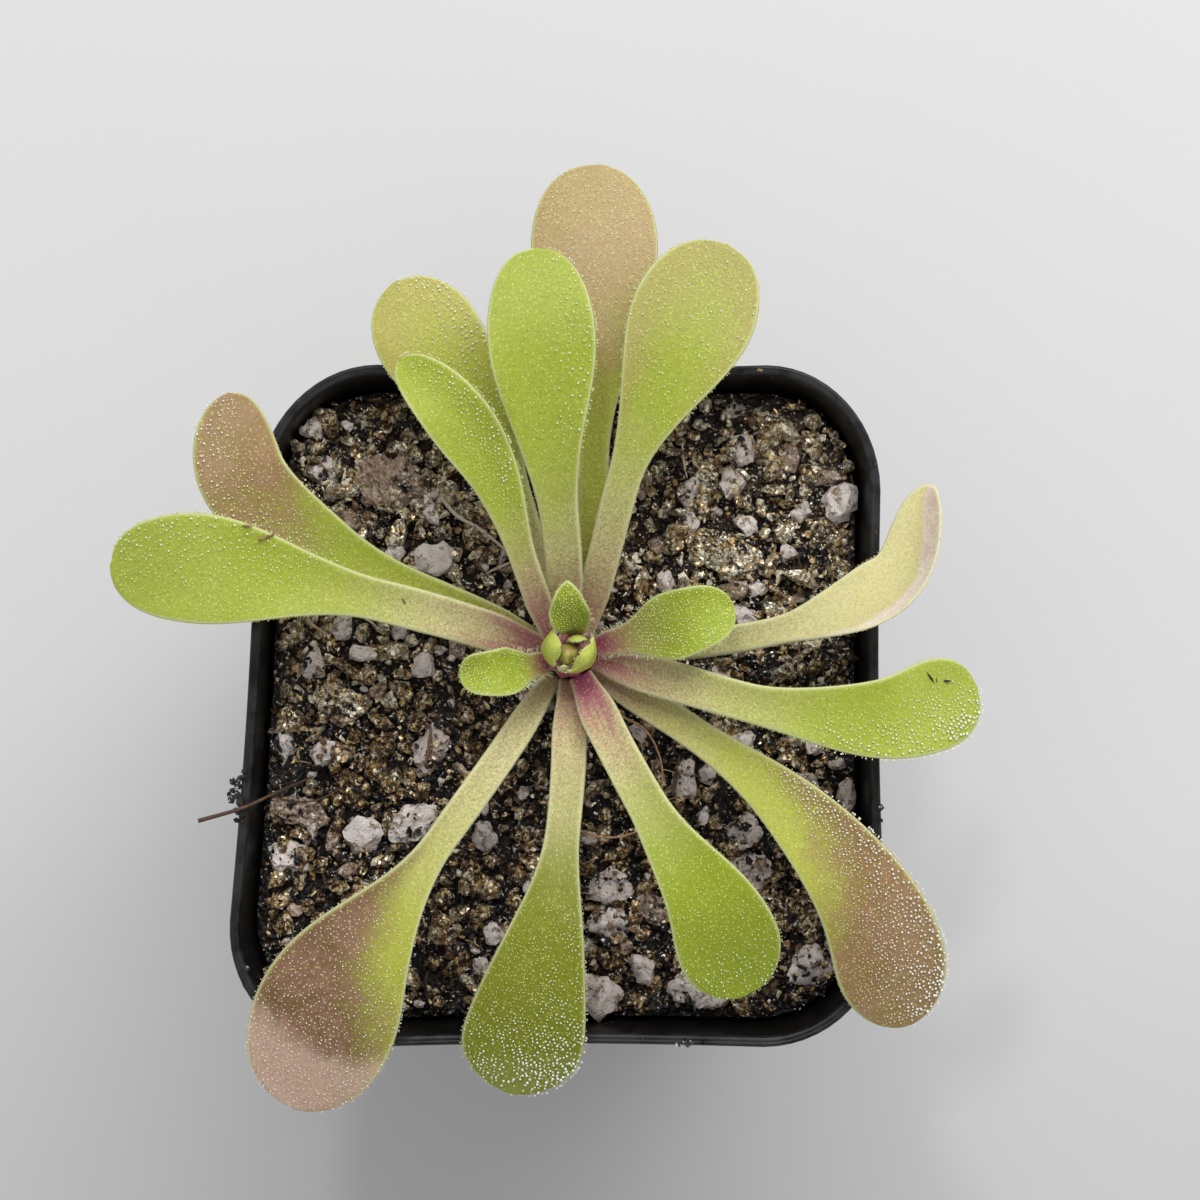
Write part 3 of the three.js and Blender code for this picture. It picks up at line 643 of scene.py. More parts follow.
    def done(self, **sockets):
        """Closes the material with a Principled surface whose sockets take these values."""
        named = {name.replace("_", " "): value for name, value in sockets.items()}
        surface = self.node("ShaderNodeBsdfPrincipled", {}, named)
        output = self.tree.nodes.new("ShaderNodeOutputMaterial")
        self.tree.links.new(surface.socket, output.inputs["Surface"])
        return self.material


# Modelling


def fresh(primitive, **sizes):
    """Adds a primitive with nothing else selected."""
    bpy.ops.object.select_all(action="DESELECT")
    primitive(**sizes)
    return bpy.context.object


def points_of(obj):
    """Where a mesh's points are, one row each."""
    flat = np.empty(len(obj.data.vertices) * 3)
    obj.data.vertices.foreach_get("co", flat)
    return flat.reshape(-1, 3)


def set_points(obj, points):
    """Moves a mesh's points to these rows."""
    obj.data.vertices.foreach_set("co", np.asarray(points, float).ravel())
    obj.data.update()


def faces_of(obj):
    """The corners of each triangle of a mesh, one row each."""
    obj.data.calc_loop_triangles()
    flat = np.empty(len(obj.data.loop_triangles) * 3, np.int32)
    obj.data.loop_triangles.foreach_get("vertices", flat)
    return flat.reshape(-1, 3)


def apply_modifier(obj, kind, **settings):
    """Adds a modifier to the active object and applies it."""
    modifier = obj.modifiers.new(kind, kind)
    for setting, value in settings.items():
        setattr(modifier, setting, value)
    bpy.ops.object.modifier_apply(modifier=modifier.name)


def smooth_surface(obj, angle=None):
    """Shades a mesh smooth, all over or only where it bends less than an angle in degrees."""
    bpy.ops.object.select_all(action="DESELECT")
    obj.select_set(True)
    bpy.context.view_layer.objects.active = obj
    if angle is None:
        bpy.ops.object.shade_smooth()
    else:
        bpy.ops.object.shade_smooth_by_angle(angle=math.radians(angle))


def raise_rings(rings):
    """Extrudes a disc upwards once for each ring, then moves every point to its place on its ring."""
    sides = len(rings[0])
    obj = fresh(bpy.ops.mesh.primitive_circle_add, vertices=sides, radius=1, fill_type="NGON")
    bpy.ops.object.mode_set(mode="EDIT")
    for _ in rings[1:]:
        bpy.ops.mesh.extrude_region_move(TRANSFORM_OT_translate={"value": (0, 0, 1)})
    bpy.ops.object.mode_set(mode="OBJECT")
    drawn = points_of(obj)
    level = np.rint(drawn[:, 2]).astype(int)
    turn = np.arctan2(drawn[:, 1], drawn[:, 0]) / (2 * math.pi) * sides
    spot = np.rint(turn).astype(int) % sides
    set_points(obj, np.array(rings)[level, spot])
    return obj


def blank_ball(detail):
    """A round blank for a grain, one millimetre across."""
    return fresh(bpy.ops.mesh.primitive_ico_sphere_add, subdivisions=detail, radius=0.5)


def take(obj):
    """A modelled shape as plain points and triangles; its object is removed."""
    shape = (points_of(obj), faces_of(obj))
    bpy.data.objects.remove(obj)
    return shape


def new_object(name, points, faces):
    """An object from points and triangles."""
    mesh = bpy.data.meshes.new(name)
    mesh.from_pydata(points, [], faces)
    obj = bpy.data.objects.new(name, mesh)
    bpy.context.scene.collection.objects.link(obj)
    return obj


def carry(obj, name, values):
    """Stores one number per point on a mesh, for its material."""
    attribute = obj.data.attributes.new(name, "FLOAT", "POINT")
    attribute.data.foreach_set("value", np.asarray(values, np.float32))


def complete(obj, name, material, replaced=()):
    """Brings a finished piece to metres and gives it its name, material and place on the body."""
    set_points(obj, points_of(obj) * MM)
    obj.name = name
    obj.data.name = name
    obj.data.materials.clear()
    obj.data.materials.append(material)
    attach(obj, BODY)
    if replaced:
        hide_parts(*replaced)
    return obj


def random_turns(random, count):
    """Random rotations, as a stack of matrices."""
    draws = random.normal(size=(4, count))
    w, x, y, z = draws / np.linalg.norm(draws, axis=0)
    rows = [
        [1 - 2 * (y * y + z * z), 2 * (x * y - w * z), 2 * (x * z + w * y)],
        [2 * (x * y + w * z), 1 - 2 * (x * x + z * z), 2 * (y * z - w * x)],
        [2 * (x * z - w * y), 2 * (y * z + w * x), 1 - 2 * (x * x + y * y)],
    ]
    return np.moveaxis(np.array(rows), 2, 0)


def lying_turns(random, count):
    """Random turns about the vertical with a slight tilt, as a stack of matrices."""
    turn, tilt = random.uniform(0, 2 * math.pi, count), random.normal(0, 0.15, count)
    rows = [
        [np.cos(turn) * np.cos(tilt), -np.sin(turn), np.cos(turn) * np.sin(tilt)],
        [np.sin(turn) * np.cos(tilt), np.cos(turn), np.sin(turn) * np.sin(tilt)],
        [-np.sin(tilt), np.zeros(count), np.cos(tilt)],
    ]
    return np.moveaxis(np.array(rows), 2, 0)


def turn_about_up(degrees):
    """A rotation about the vertical, as a matrix."""
    angle = math.radians(degrees)
    return np.array([
        [math.cos(angle), -math.sin(angle), 0],
        [math.sin(angle), math.cos(angle), 0],
        [0, 0, 1],
    ])


def waves(points, seed, size):
    """Smooth bumps between about -1 and 1 over points, with hills of about this size."""
    random = np.random.default_rng(seed)
    total = np.zeros(len(points))
    for _ in range(5):
        direction = random.normal(size=3)
        direction *= 2 * math.pi / size / np.linalg.norm(direction) * random.uniform(0.6, 1.5)
        total += np.sin(points @ direction + random.uniform(0, 2 * math.pi))
    return total / 2.5


def smooth_step(low, high, value):
    """Goes smoothly from 0 to 1 as the value goes from low to high."""
    share = np.clip((value - low) / (high - low), 0, 1)
    return share * share * (3 - 2 * share)


def blend(first, second, share):
    """Goes in a straight line from first to second as the share goes from 0 to 1."""
    return first + (second - first) * share


# Pot


def soft_square(corner):
    """A square of half size 1 with round corners, and how far each point bows in, from 0 to 1."""
    corner_angles = np.arange(CORNER_STEPS) / CORNER_STEPS * math.pi / 2
    side_shares = np.arange(SIDE_STEPS) / SIDE_STEPS
    x = np.concatenate([1 - corner + corner * np.cos(corner_angles), (1 - corner) * (1 - 2 * side_shares)])
    y = np.concatenate([1 - corner + corner * np.sin(corner_angles), np.ones(SIDE_STEPS)])
    bow = np.concatenate([np.zeros(CORNER_STEPS), np.sin(side_shares * math.pi)])
    quarter = np.stack([x, y], axis=1)
    quarters = [quarter @ turn_about_up(90 * side)[:2, :2].T for side in range(4)]
    return np.concatenate(quarters), np.tile(bow, 4)


def pot_outline(height, inset):
    """One turn round the pot at a height, set in from its outer face there."""
    rise = height / POT_HEIGHT
    front_width = blend(BASE_WIDTH, RIM_FRONT_WIDTH, rise) - 2 * inset
    back_width = blend(BASE_WIDTH, RIM_BACK_WIDTH, rise) - 2 * inset
    depth = blend(BASE_WIDTH, RIM_DEPTH, rise) - 2 * inset
    radius = blend(BASE_CORNER_RADIUS, RIM_CORNER_RADIUS, rise) - inset
    square, bow = soft_square(radius / (depth / 2))
    to_back = (square[:, 1] + 1) / 2
    half_size = np.stack([blend(front_width, back_width, to_back) / 2, np.full(len(bow), depth / 2)], axis=1)
    shift = blend(RIM_FRONT_SHIFT, RIM_BACK_SHIFT, to_back) * rise
    outwards = np.where(np.abs(square) > 1 - 1e-6, np.sign(square), 0)
    plan = square * half_size - outwards * (SIDE_BOW * rise * bow)[:, None]
    plan[:, 0] += shift
    return np.column_stack([plan, np.full(len(bow), height)])


def build_pot(colours):
    """The thin moulded pot with its stepped band, grooved lip and drain holes."""
    pot = raise_rings([pot_outline(height, inset) for height, inset in POT_SECTION])
    for across in (-DRAIN_REACH, DRAIN_REACH):
        for along in (-DRAIN_REACH, DRAIN_REACH):
            cutter = fresh(
                bpy.ops.mesh.primitive_cylinder_add, vertices=DRAIN_SIDES, radius=DRAIN_RADIUS,
                depth=DRAIN_CUTTER_HEIGHT, location=(across, along, 0),
            )
            bpy.context.view_layer.objects.active = pot
            apply_modifier(pot, "BOOLEAN", operation="DIFFERENCE", solver="EXACT", object=cutter)
            bpy.data.objects.remove(cutter)
    smooth_surface(pot, 32)
    return complete(pot, "pot_shell", pot_finish(colours), ["pot"])


def pot_finish(colours):
    """Black moulded plastic: rubbed paler at the lip, with patches of dust and fine scratches."""
    finish = Finish("pot_plastic")
    height = finish.height()
    worn = finish.rise(height, 69.2, 69.9) * finish.rise(finish.noise(2.2, 4), 0.32, 0.6)
    scratches = finish.rise(finish.noise(0.4, 2, stretch=(1, 1, 0.04)), 0.68, 0.76)
    dust = finish.rise(finish.noise(3, 6, 0.7), 0.5, 0.75) * 0.35
    specks = finish.dots(1.6, 0.12) * finish.rise(finish.noise(9, 3), 0.45, 0.6)
    colour = finish.mix(worn * 0.4, colours.pot_black, colours.pot_worn)
    colour = finish.mix(scratches * 0.12, colour, colours.pot_worn)
    colour = finish.mix(dust * 0.2, colour, colours.soil_brown)
    colour = finish.mix(specks * 0.5, colour, colours.bark_pale)
    grain = finish.noise(0.3, 2) + finish.noise(9, 2) * 0.8
    return finish.done(
        Base_Color=colour,
        Roughness=0.36 + dust * 0.5 + finish.noise(1.5, 3) * 0.1,
        Specular_IOR_Level=0.3,
        Normal=finish.bump(grain, 0.035),
    )


# Soil


def soil_height(x, y):
    """The height of the bed of soil at a place on the pot's plan."""
    from_crown = np.hypot(x - CROWN_X, y - CROWN_Y) / CROWN_DIP_RADIUS
    dip = CROWN_DIP * np.exp(-from_crown * from_crown)
    broad = np.sin(x * 0.19 + 1.3) * np.cos(y * 0.17 - 0.6)
    fine = np.sin(x * 0.61 - y * 0.43) * np.cos(y * 0.57 + x * 0.21)
    return SOIL_TOP + SOIL_WAVE * (broad + 0.6 * fine) - dip


def loose_height(x, y):
    """The height of the soil at a place, with the mix that is banked against the wall."""
    room = room_inside(pot_outline(SOIL_TOP, WALL), x, y)
    bank = blend(BANK_FRONT, BANK_BACK, smooth_step(*BANK_TURN, y))
    return soil_height(x, y) + BED_DROP + bank * (1 - smooth_step(0, BANK_WIDTH, room))


def build_soil_bed(colours):
    """The bed of growing mix that fills the pot, under the loose grains."""
    rings = [pot_outline(height, inset) for height, inset in SOIL_SECTION]
    edge = rings[-1]
    for share in np.linspace(0.995, 0.01, SOIL_RINGS):
        x, y = edge[:, 0] * share, edge[:, 1] * share
        rings.append(np.column_stack([x, y, loose_height(x, y)]))
    bed = raise_rings(rings)
    points = points_of(bed)
    room = room_inside(edge, points[:, 0], points[:, 1])
    points[:, 2] += smooth_step(0.1, 0.6, room) * (0.3 * waves(points, 3, 2.1) + 0.3 * waves(points, 4, 4.5))
    set_points(bed, points)
    smooth_surface(bed)
    return complete(bed, "soil_bed", soil_finish(colours), ["soil"])


def soil_finish(colours):
    """Fine dark compost, damp in places."""
    finish = Finish("soil_mix")
    crumbs = finish.cells(0.7)
    # The compost is painted lighter towards the back, as painted light
    tone = finish.noise(0.9, 5, 0.7) + painted_back_light(finish) * 0.06
    colour = finish.ramp(tone, [
        (0.38, srgb(7, 6, 5)), (0.52, tuple(colours.soil_black)), (0.6, tuple(colours.soil_brown)),
        (0.7, tuple(colours.bark_brown)),
    ])
    # Painted glints on the damp compost
    colour = finish.mix(painted_glints(finish), colour, colours.painted_glint_white)
    return finish.done(
        Base_Color=colour,
        Roughness=0.3 + finish.noise(0.7, 2) * 0.4,
        Normal=finish.bump(finish.noise(0.4, 4) - crumbs, 0.5),
    )


def painted_glints(finish):
    """Painted glints: tiny white sparks painted into the colour where damp grains would catch the light."""
    flakes = finish.rise(finish.noise(0.45, 2, 0.7), 0.61, 0.65)
    return flakes * finish.rise(finish.noise(2.2, 2), 0.42, 0.52) * 0.95


def painted_back_light(finish):
    """Painted light: goes from 0 over the front of the pot to 1 over its back, where the mix is painted
    lighter, as the window behind the pot lights it and the leaves shade the front.
    """
    along = finish.part(finish.place(), "Y")
    return finish.rise(along * (1 / MM), -12, 14)


def room_inside(outline, x, y):
    """How far each place lies inside a closed outline that bulges everywhere, in millimetres."""
    corners = outline[:, :2]
    sides = np.roll(corners, -1, axis=0) - corners
    inwards = np.stack([-sides[:, 1], sides[:, 0]], axis=1) / np.linalg.norm(sides, axis=1)[:, None]
    offsets = np.stack([x, y], axis=1)[:, None, :] - corners[None]
    return (offsets * inwards[None]).sum(axis=2).min(axis=1)


def inside_pot(random, count, margin):
    """Random places on the pot's plan, each this far inside the wall."""
    outline = pot_outline(SOIL_TOP, WALL)
    reach = np.abs(outline[:, :2]).max()
    tries = random.uniform(-reach, reach, size=(2 * count, 2))
    return tries[room_inside(outline, tries[:, 0], tries[:, 1]) > margin][:count]


def spaced_places(random, sizes, spacing, taken):
    """Places for grains of these sizes, largest first, where they hardly lie on those already taken."""
    found = list(taken)
    tries = iter(inside_pot(random, SPACING_TRIES * len(sizes), 0))
    room = pot_outline(SOIL_TOP, WALL)
    for size in sizes:
        others = np.array(found)
        for place in tries:
            gaps = np.hypot(*(others[:, :2] - place).T)
            clear = (gaps > spacing * (others[:, 2] + size) / 2).all()
            if clear and room_inside(room, place[:1], place[1:])[0] > size * 0.45:
                found.append((*place, size))
                break
    return np.array(found[len(taken):])


def lump_rise(x, y):
    """How far the big grains stand above the bed at each place, in millimetres."""
    rise = np.zeros(len(x))
    for lump in (lump for lumps in LUMPS.values() for lump in lumps):
        across, along = ((np.column_stack([x, y]) - lump.at) @ turn_about_up(lump.turn)[:2, :2]).T
        share = (across / lump.size[0] * 2) ** 2 + (along / lump.size[1] * 2) ** 2
        dome = lump.size[2] * (LUMP_RISE + 0.5 * np.sqrt(np.maximum(0, 1 - share)))
        rise = np.where(share < 1, np.maximum(rise, dome), rise)
    return rise


def scatter(name, shapes, places, random, rise, flatness, turns):
    """Copies grain shapes to their places on the soil, each with its own size, turn and tone."""
    points, faces, tones, layers = [], [], [], []
    first = 0
    kinds = random.integers(len(shapes), size=len(places))
    for kind, (shape, triangles) in enumerate(shapes):
        chosen = places[kinds == kind]
        count = len(chosen)
        stretch = random.uniform(0.7, 1.25, size=(count, 3)) * np.array([1, 1, flatness])
        sized = shape[None] * stretch[:, None, :] * chosen[:, 2][:, None, None]
        placed = np.einsum("nij,nkj->nki", turns(random, count), sized)
        centre = np.column_stack([chosen[:, :2], loose_height(chosen[:, 0], chosen[:, 1])])
        centre[:, 2] += chosen[:, 2] * random.uniform(*rise, count)
        centre[:, 2] = np.maximum(centre[:, 2], soil_height(*chosen[:, :2].T) + lump_rise(*chosen[:, :2].T))
        placed += centre[:, None, :]
        starts = first + np.arange(count) * len(shape)
        points.append(placed.reshape(-1, 3))
        faces.append((triangles[None] + starts[:, None, None]).reshape(-1, 3))
        tones.append(np.repeat(random.uniform(0, 1, count), len(shape)))
        layers.append(np.tile(shape[:, 0] + 0.5, count))
        first += count * len(shape)
    obj = new_object(name, np.concatenate(points), np.concatenate(faces))
    carry(obj, "tone", np.concatenate(tones))
    carry(obj, "layer", np.concatenate(layers))
    return obj


def rough(points, seed, fineness):
    """Random bumps between about -1 and 1 over a shape of unit size."""
    start = Vector((seed * 7.31, seed * 3.17, seed * 1.93))
    return np.array([noise.noise(Vector(point) * fineness + start) for point in points])


def broken_ball(detail, seed, cuts):
    """A ball, one millimetre across, broken flat on this many sides."""
    ball = blank_ball(detail)
    points = points_of(ball)
    random = np.random.default_rng(seed)
    facing = random.normal(size=(cuts, 3))
    facing /= np.linalg.norm(facing, axis=1)[:, None]
    reach = np.maximum(points @ facing.T, 0.01)
    shares = np.minimum((random.uniform(0.24, 0.42, cuts) / reach).min(axis=1), 1)
    return ball, points * shares[:, None]


def crumb_shapes(seed, count):
    """Sharp-edged crumbs, one millimetre across: a ball with its corners pushed in and out."""
    random = np.random.default_rng(seed)
    shapes = []
    for _ in range(count):
        ball = blank_ball(1)
        points = points_of(ball) * random.uniform(0.6, 1.25, size=(1, 3))
        set_points(ball, points * random.uniform(0.55, 1.3, size=(len(points), 1)))
        shapes.append(take(ball))
    return shapes


def perlite_shape(seed, detail):
    """A puffed perlite lump: broken, knobbly and pitted, one millimetre across."""
    ball, points = broken_ball(detail, seed, 9)
    knobs = 0.34 * rough(points, seed, 2.8) + 0.2 * rough(points, seed, 6) + 0.1 * rough(points, seed, 14)
    pits = np.maximum(0, rough(points, seed + 1, 8) - 0.2)
    set_points(ball, points * (1.15 + knobs - 0.7 * pits)[:, None])
    return take(ball)


def vermiculite_shape(seed, detail, dents):
    """A chip of puffed mica, one millimetre across: flat-sided, crumpled and sharp-edged."""
    ball, points = broken_ball(detail, seed, 7)
    random = np.random.default_rng(seed)
    leaves = 0.12 * np.sign(np.sin(points[:, 2] * 26 + seed)) * (np.abs(points[:, 2]) < 0.3)
    crumple = 0.3 * rough(points, seed, 3) + 0.24 * rough(points, seed + 1, 7)
    dented = random.uniform(1 - dents, 1 + dents, len(points))
    set_points(ball, points * ((1.2 + crumple + leaves) * dented)[:, None])
    return take(ball)


def bark_shape(seed, detail):
    """A sliver of bark with ridges along it."""
    ball = blank_ball(detail)
    points = points_of(ball)
    boxy = np.sign(points) * np.abs(points * 2) ** 0.75 * 0.5
    ridges = 0.24 * rough(points * np.array([0.3, 1, 1]), seed, 9)
    knots = 0.4 * rough(points, seed + 1, 4) + 0.26 * rough(points, seed + 2, 9)
    set_points(ball, boxy * (1 + ridges + knots)[:, None])
    return take(ball)


def fibre_shapes(seed, count):
    """Thin bent fibres, one millimetre long."""
    random = np.random.default_rng(seed)
    shapes = []
    for _ in range(count):
        ball = blank_ball(2)
        points = points_of(ball) * np.array([1, random.uniform(0.05, 0.12), 0.06])
        points[:, 1] += random.uniform(-0.4, 0.4) * points[:, 0] ** 2
        set_points(ball, points)
        shapes.append(take(ball))
    return shapes


def perlite_finish(colours):
    """Puffed volcanic glass, pitted and crusted with the mix, with painted shade in its pits."""
    finish = Finish("perlite")
    tone = finish.attribute("tone")
    fine = finish.noise(0.24, 3, 0.7)
    crust = finish.noise(1.2, 6, 0.75)
    colour = finish.mix(tone * 0.8, colours.perlite_pale, colours.perlite_grey)
    colour = finish.mix(finish.rise(crust, 0.5, 0.6) * 0.6, colour, colours.perlite_stain)
    colour = finish.mix(finish.rise(crust, 0.55, 0.61) * 0.9, colour, colours.soil_brown)
    colour = finish.mix(finish.rise(crust, 0.61, 0.64) * 0.9, colour, colours.mica_gold)
    # Painted shade: the pits are painted nearly black, for the shade inside them
    holes = finish.dots(0.6, 0.07) * finish.rise(finish.noise(1.5, 2), 0.46, 0.54)
    colour = finish.mix(holes * 0.9, colour, colours.soil_black)
    colour = finish.shade(colour, 0.72 + fine * 0.6)
    # Painted glints on the perlite
    colour = finish.mix(painted_glints(finish) * 0.7, colour, colours.painted_glint_white)
    return finish.done(
        Base_Color=colour,
        Roughness=0.4 + crust * 0.3,
        Normal=finish.bump(fine - holes, 0.3),
    )


def vermiculite_finish(colours):
    """Golden mica in crumpled layers that glitter, with painted light and shade on its facets and painted
    shade in its folds.
    """
    finish = Finish("vermiculite")
    tone = finish.attribute("tone")
    # Painted light and shade: each facet and plate is painted lighter or darker at random, as crumpled mica
    # catches the light or lies in shade, on top of each chip's own tone
    flake, tilt = finish.facets(0.5)
    plate, slope = finish.facets(1.3)
    worn = finish.noise(0.9, 3, 0.6)
    folds = abs(finish.noise(1.1, 3, 0.7, distortion=0.8) - 0.5)
    shift = (flake - 0.5) * 0.7 + (plate - 0.5) * 0.3 + (worn - 0.5) * 0.9
    # The mica is painted lighter towards the back, as painted light
    colour = finish.ramp(tone * 0.42 + shift + 0.29 + painted_back_light(finish) * 0.22, [
        (0.12, tuple(colours.soil_brown)), (0.26, tuple(colours.mica_dark_and_shade)),
        (0.42, tuple(colours.mica_brown)), (0.64, tuple(colours.mica_gold)),
        (0.88, tuple(colours.mica_pale_and_sheen)),
    ])
    # Painted shade: the folds are painted dark, as shade lies in the creases
    colour = finish.mix((1 - finish.rise(folds, 0.004, 0.034)) * 0.85, colour, colours.soil_brown)
    dirt = finish.rise(finish.noise(1.6, 3, 0.7), 0.56, 0.62)
    colour = finish.mix(dirt * 0.8, colour, colours.soil_black)
    # Painted glints on the mica
    colour = finish.mix(painted_glints(finish), colour, colours.painted_glint_white)
    return finish.done(
        Base_Color=colour,
        Roughness=0.14 + worn * 0.3,
        Metallic=(1 - dirt) * 0.4,
        Normal=finish.bump(tilt * 0.6 + slope * 0.3 + finish.rise(folds, 0, 0.05) * 0.3, 1.3),
    )


def bark_finish(colours):
    """Damp bark, streaked and crusted with grit."""
    finish = Finish("bark")
    tone = finish.attribute("tone")
    layer = finish.attribute("layer")
    streaks = finish.noise(0.8, 4, 0.65)
    flake, tilt = finish.facets(0.55)
    rings = finish.node("ShaderNodeMath", {"operation": "SINE"}, {0: layer * 50 + streaks * 7})
    crust = finish.noise(0.7, 4, 0.75)
    colour = finish.ramp(tone * 0.3 + (streaks - 0.5) * 1.4 + (flake - 0.5) * 0.5 + 0.46, [
        (0.2, tuple(colours.soil_black)), (0.42, tuple(colours.bark_brown)), (0.7, tuple(colours.bark_pale)),
    ])
    colour = finish.mix(finish.rise(rings, 0.2, 0.9) * 0.2, colour, colours.soil_black)
    colour = finish.mix(finish.rise(crust, 0.5, 0.58) * 0.6, colour, colours.perlite_grey)
    colour = finish.mix(finish.rise(crust, 0.59, 0.64) * 0.7, colour, colours.mica_gold)
    # Painted glints on the bark
    colour = finish.mix(painted_glints(finish), colour, colours.painted_glint_white)
    return finish.done(
        Base_Color=colour,
        Roughness=0.35 + streaks * 0.4,
        Normal=finish.bump(streaks * 0.6 + crust * 0.4 + tilt * 0.4, 0.6),
    )


def crumb_finish(colours):
    """Crumbs of damp compost and sand, from black through brown to gold."""
    finish = Finish("compost_crumbs")
    tone = finish.attribute("tone")
    mottle = finish.noise(0.35, 4, 0.75)
    regions = finish.noise(9, 2)
    # The crumbs are painted lighter towards the back, as painted light
    shift = (mottle - 0.5) * 0.4 + (regions - 0.5) * 0.5 + painted_back_light(finish) * 0.25
    light = tone * 0.86 + shift
    colour = finish.ramp(light, [
        (0.36, srgb(8, 6, 5)), (0.54, tuple(colours.soil_black)), (0.64, tuple(colours.soil_brown)),
        (0.7, tuple(colours.bark_brown)), (0.76, tuple(colours.mica_brown)), (0.84, tuple(colours.mica_gold)),
        (0.94, tuple(colours.mica_pale_and_sheen)),
    ])
    # Painted glints on the crumbs
    colour = finish.mix(painted_glints(finish), colour, colours.painted_glint_white)
    return finish.done(
        Base_Color=colour,
        Roughness=0.08 + finish.noise(1.1, 2) * 0.4,
        Metallic=finish.rise(light, 0.66, 0.78) * 0.5,
        Normal=finish.bump(mottle, 0.2),
    )


def grit_finish(colours):
    """Small bright grains of sand and mica; the brightest are painted glint white, as painted highlights."""
    finish = Finish("grit")
    tone = finish.attribute("tone")
    mottle = finish.noise(0.3, 3)
    colour = finish.ramp(tone + (mottle - 0.5) * 0.3, [
        (0.1, tuple(colours.bark_brown)), (0.4, tuple(colours.mica_brown)), (0.65, tuple(colours.mica_gold)),
        # The top of the ramp is a painted highlight: glint white
        (0.85, tuple(colours.mica_pale_and_sheen)), (1, tuple(colours.painted_glint_white)),
    ])
    return finish.done(
        Base_Color=colour,
        Roughness=0.1 + mottle * 0.2,
        Metallic=finish.rise(tone, 0.3, 0.6) * 0.5,
        Normal=finish.bump(mottle, 0.1),
    )


def fibre_finish(colours):
    """Rotted fibres and needles in the mix."""
    finish = Finish("fibres")
    tone = finish.attribute("tone")
    mottle = finish.noise(0.5, 3)
    colour = finish.ramp(tone + (mottle - 0.5) * 0.4, [
        (0.2, tuple(colours.soil_brown)), (0.5, tuple(colours.needle_brown)),
        (0.8, tuple(colours.mica_brown)), (1, tuple(colours.fibre_pale)),
    ])
    return finish.done(Base_Color=colour, Roughness=0.4 + mottle * 0.3, Normal=finish.bump(mottle, 0.08))


def build_lumps(colours):
    """The biggest loose grains, each in the place of its CAD node."""
    finishes = {
        "perlite": perlite_finish(colours),
        "vermiculite": vermiculite_finish(colours),
        "bark": bark_finish(colours),
    }
    for kind, lumps in LUMPS.items():
        for number, lump in enumerate(lumps):
            if kind == "perlite":
                shape, faces = perlite_shape(61 + 5 * number, 4)
            elif kind == "vermiculite":
                shape, faces = vermiculite_shape(90 + number, 5, 0.02)
            else:
                shape, faces = bark_shape(120 + 3 * number, 5)
            layer = shape[:, 0] + 0.5
            size = np.array(lump.size)
            turned = (shape * size) @ turn_about_up(lump.turn).T
            x, y = lump.at
            centre = np.array([x, y, soil_height(x, y) + size[2] * LUMP_RISE])
            obj = new_object(lump.node, turned + centre, faces)
            carry(obj, "tone", np.full(len(shape), (0.9 + number * 0.83) % 1))
            carry(obj, "layer", layer)
            smooth_surface(obj, 36 if kind == "perlite" else 16)
            complete(obj, lump.node + "_lump", finishes[kind], [lump.node])
    return finishes


def build_grains(colours, soil, finishes):
    """The loose grains that cover the bed, from the largest kind to the smallest."""
    random = np.random.default_rng(11)

    def sizes(count, low, high, most_small=2.2):
        return np.sort(blend(low, high, random.uniform(0, 1, count) ** most_small))[::-1]

    def loose_places(count, low, high):
        places = inside_pot(random, count, high * 0.4)
        return np.column_stack([places, sizes(len(places), low, high)])

    placed = {kind: np.array(grains) for kind, grains in GRAINS.items()}
    taken = [(*lump.at, max(lump.size)) for lumps in LUMPS.values() for lump in lumps]
    taken += [tuple(place) for grains in placed.values() for place in grains]
    taken.append((CROWN_X, CROWN_Y, 6))
    perlite = spaced_places(random, sizes(soil.perlite_count, *PERLITE_SIZES), 0.85, taken)
    taken += [tuple(place) for place in perlite]
    chips = spaced_places(random, sizes(soil.chip_count, *CHIP_SIZES, 1.6), 0.55, taken)
    taken += [tuple(place) for place in chips if place[2] > 1.2]
    bark = spaced_places(random, sizes(soil.bark_count, *BARK_SIZES), 0.6, taken)
    crumbs = loose_places(soil.crumb_count, *CRUMB_SIZES)
    grit = loose_places(soil.grit_count, *GRIT_SIZES)
    fibres = loose_places(soil.fibre_count, *FIBRE_LENGTHS)
    perlite = np.concatenate([placed["perlite"], perlite])
    chips = np.concatenate([placed["vermiculite"], chips])
    bark = np.concatenate([placed["bark"], bark])

    perlite_shapes = [perlite_shape(20 + 4 * kind, 3) for kind in range(8)]
    chip_shapes = [vermiculite_shape(40 + 3 * kind, 2, 0.14) for kind in range(14)]
    bark_shapes = [bark_shape(70 + 3 * kind, 2) for kind in range(8)]
    crumb_material = crumb_finish(colours)
    loose = [
        (
            "perlite_grains", perlite_shapes, perlite, (0.1, 0.35), 0.85, random_turns,
            finishes["perlite"], "perlite", 36,
        ),
        (
            "vermiculite_chips", chip_shapes, chips, (0, 0.5), 0.7, random_turns,
            finishes["vermiculite"], "vermiculite", 12,
        ),
        ("bark_bits", bark_shapes, bark, (0.1, 0.4), 0.6, random_turns, finishes["bark"], "bark", 30),
        (
            "compost_crumbs", crumb_shapes(5, 14), crumbs, (-0.2, 1), 0.5, random_turns,
            crumb_material, "soil_mix", 12,
        ),
        (
            "grit_grains", crumb_shapes(6, 8), grit, (1, 3.2), 0.35, random_turns,
            grit_finish(colours), "soil_mix", 12,
        ),
        (
            "plant_fibres", fibre_shapes(7, 6), fibres, (0.1, 0.4), 1, lying_turns,
            fibre_finish(colours), "bark", 60,
        ),
    ]
    for name, shapes, places, rise, flatness, turns, material, slot, crease in loose:
        obj = scatter(name, shapes, places, random, rise, flatness, turns)
        smooth_surface(obj, crease)
        complete(obj, name, material)
    return crumb_material


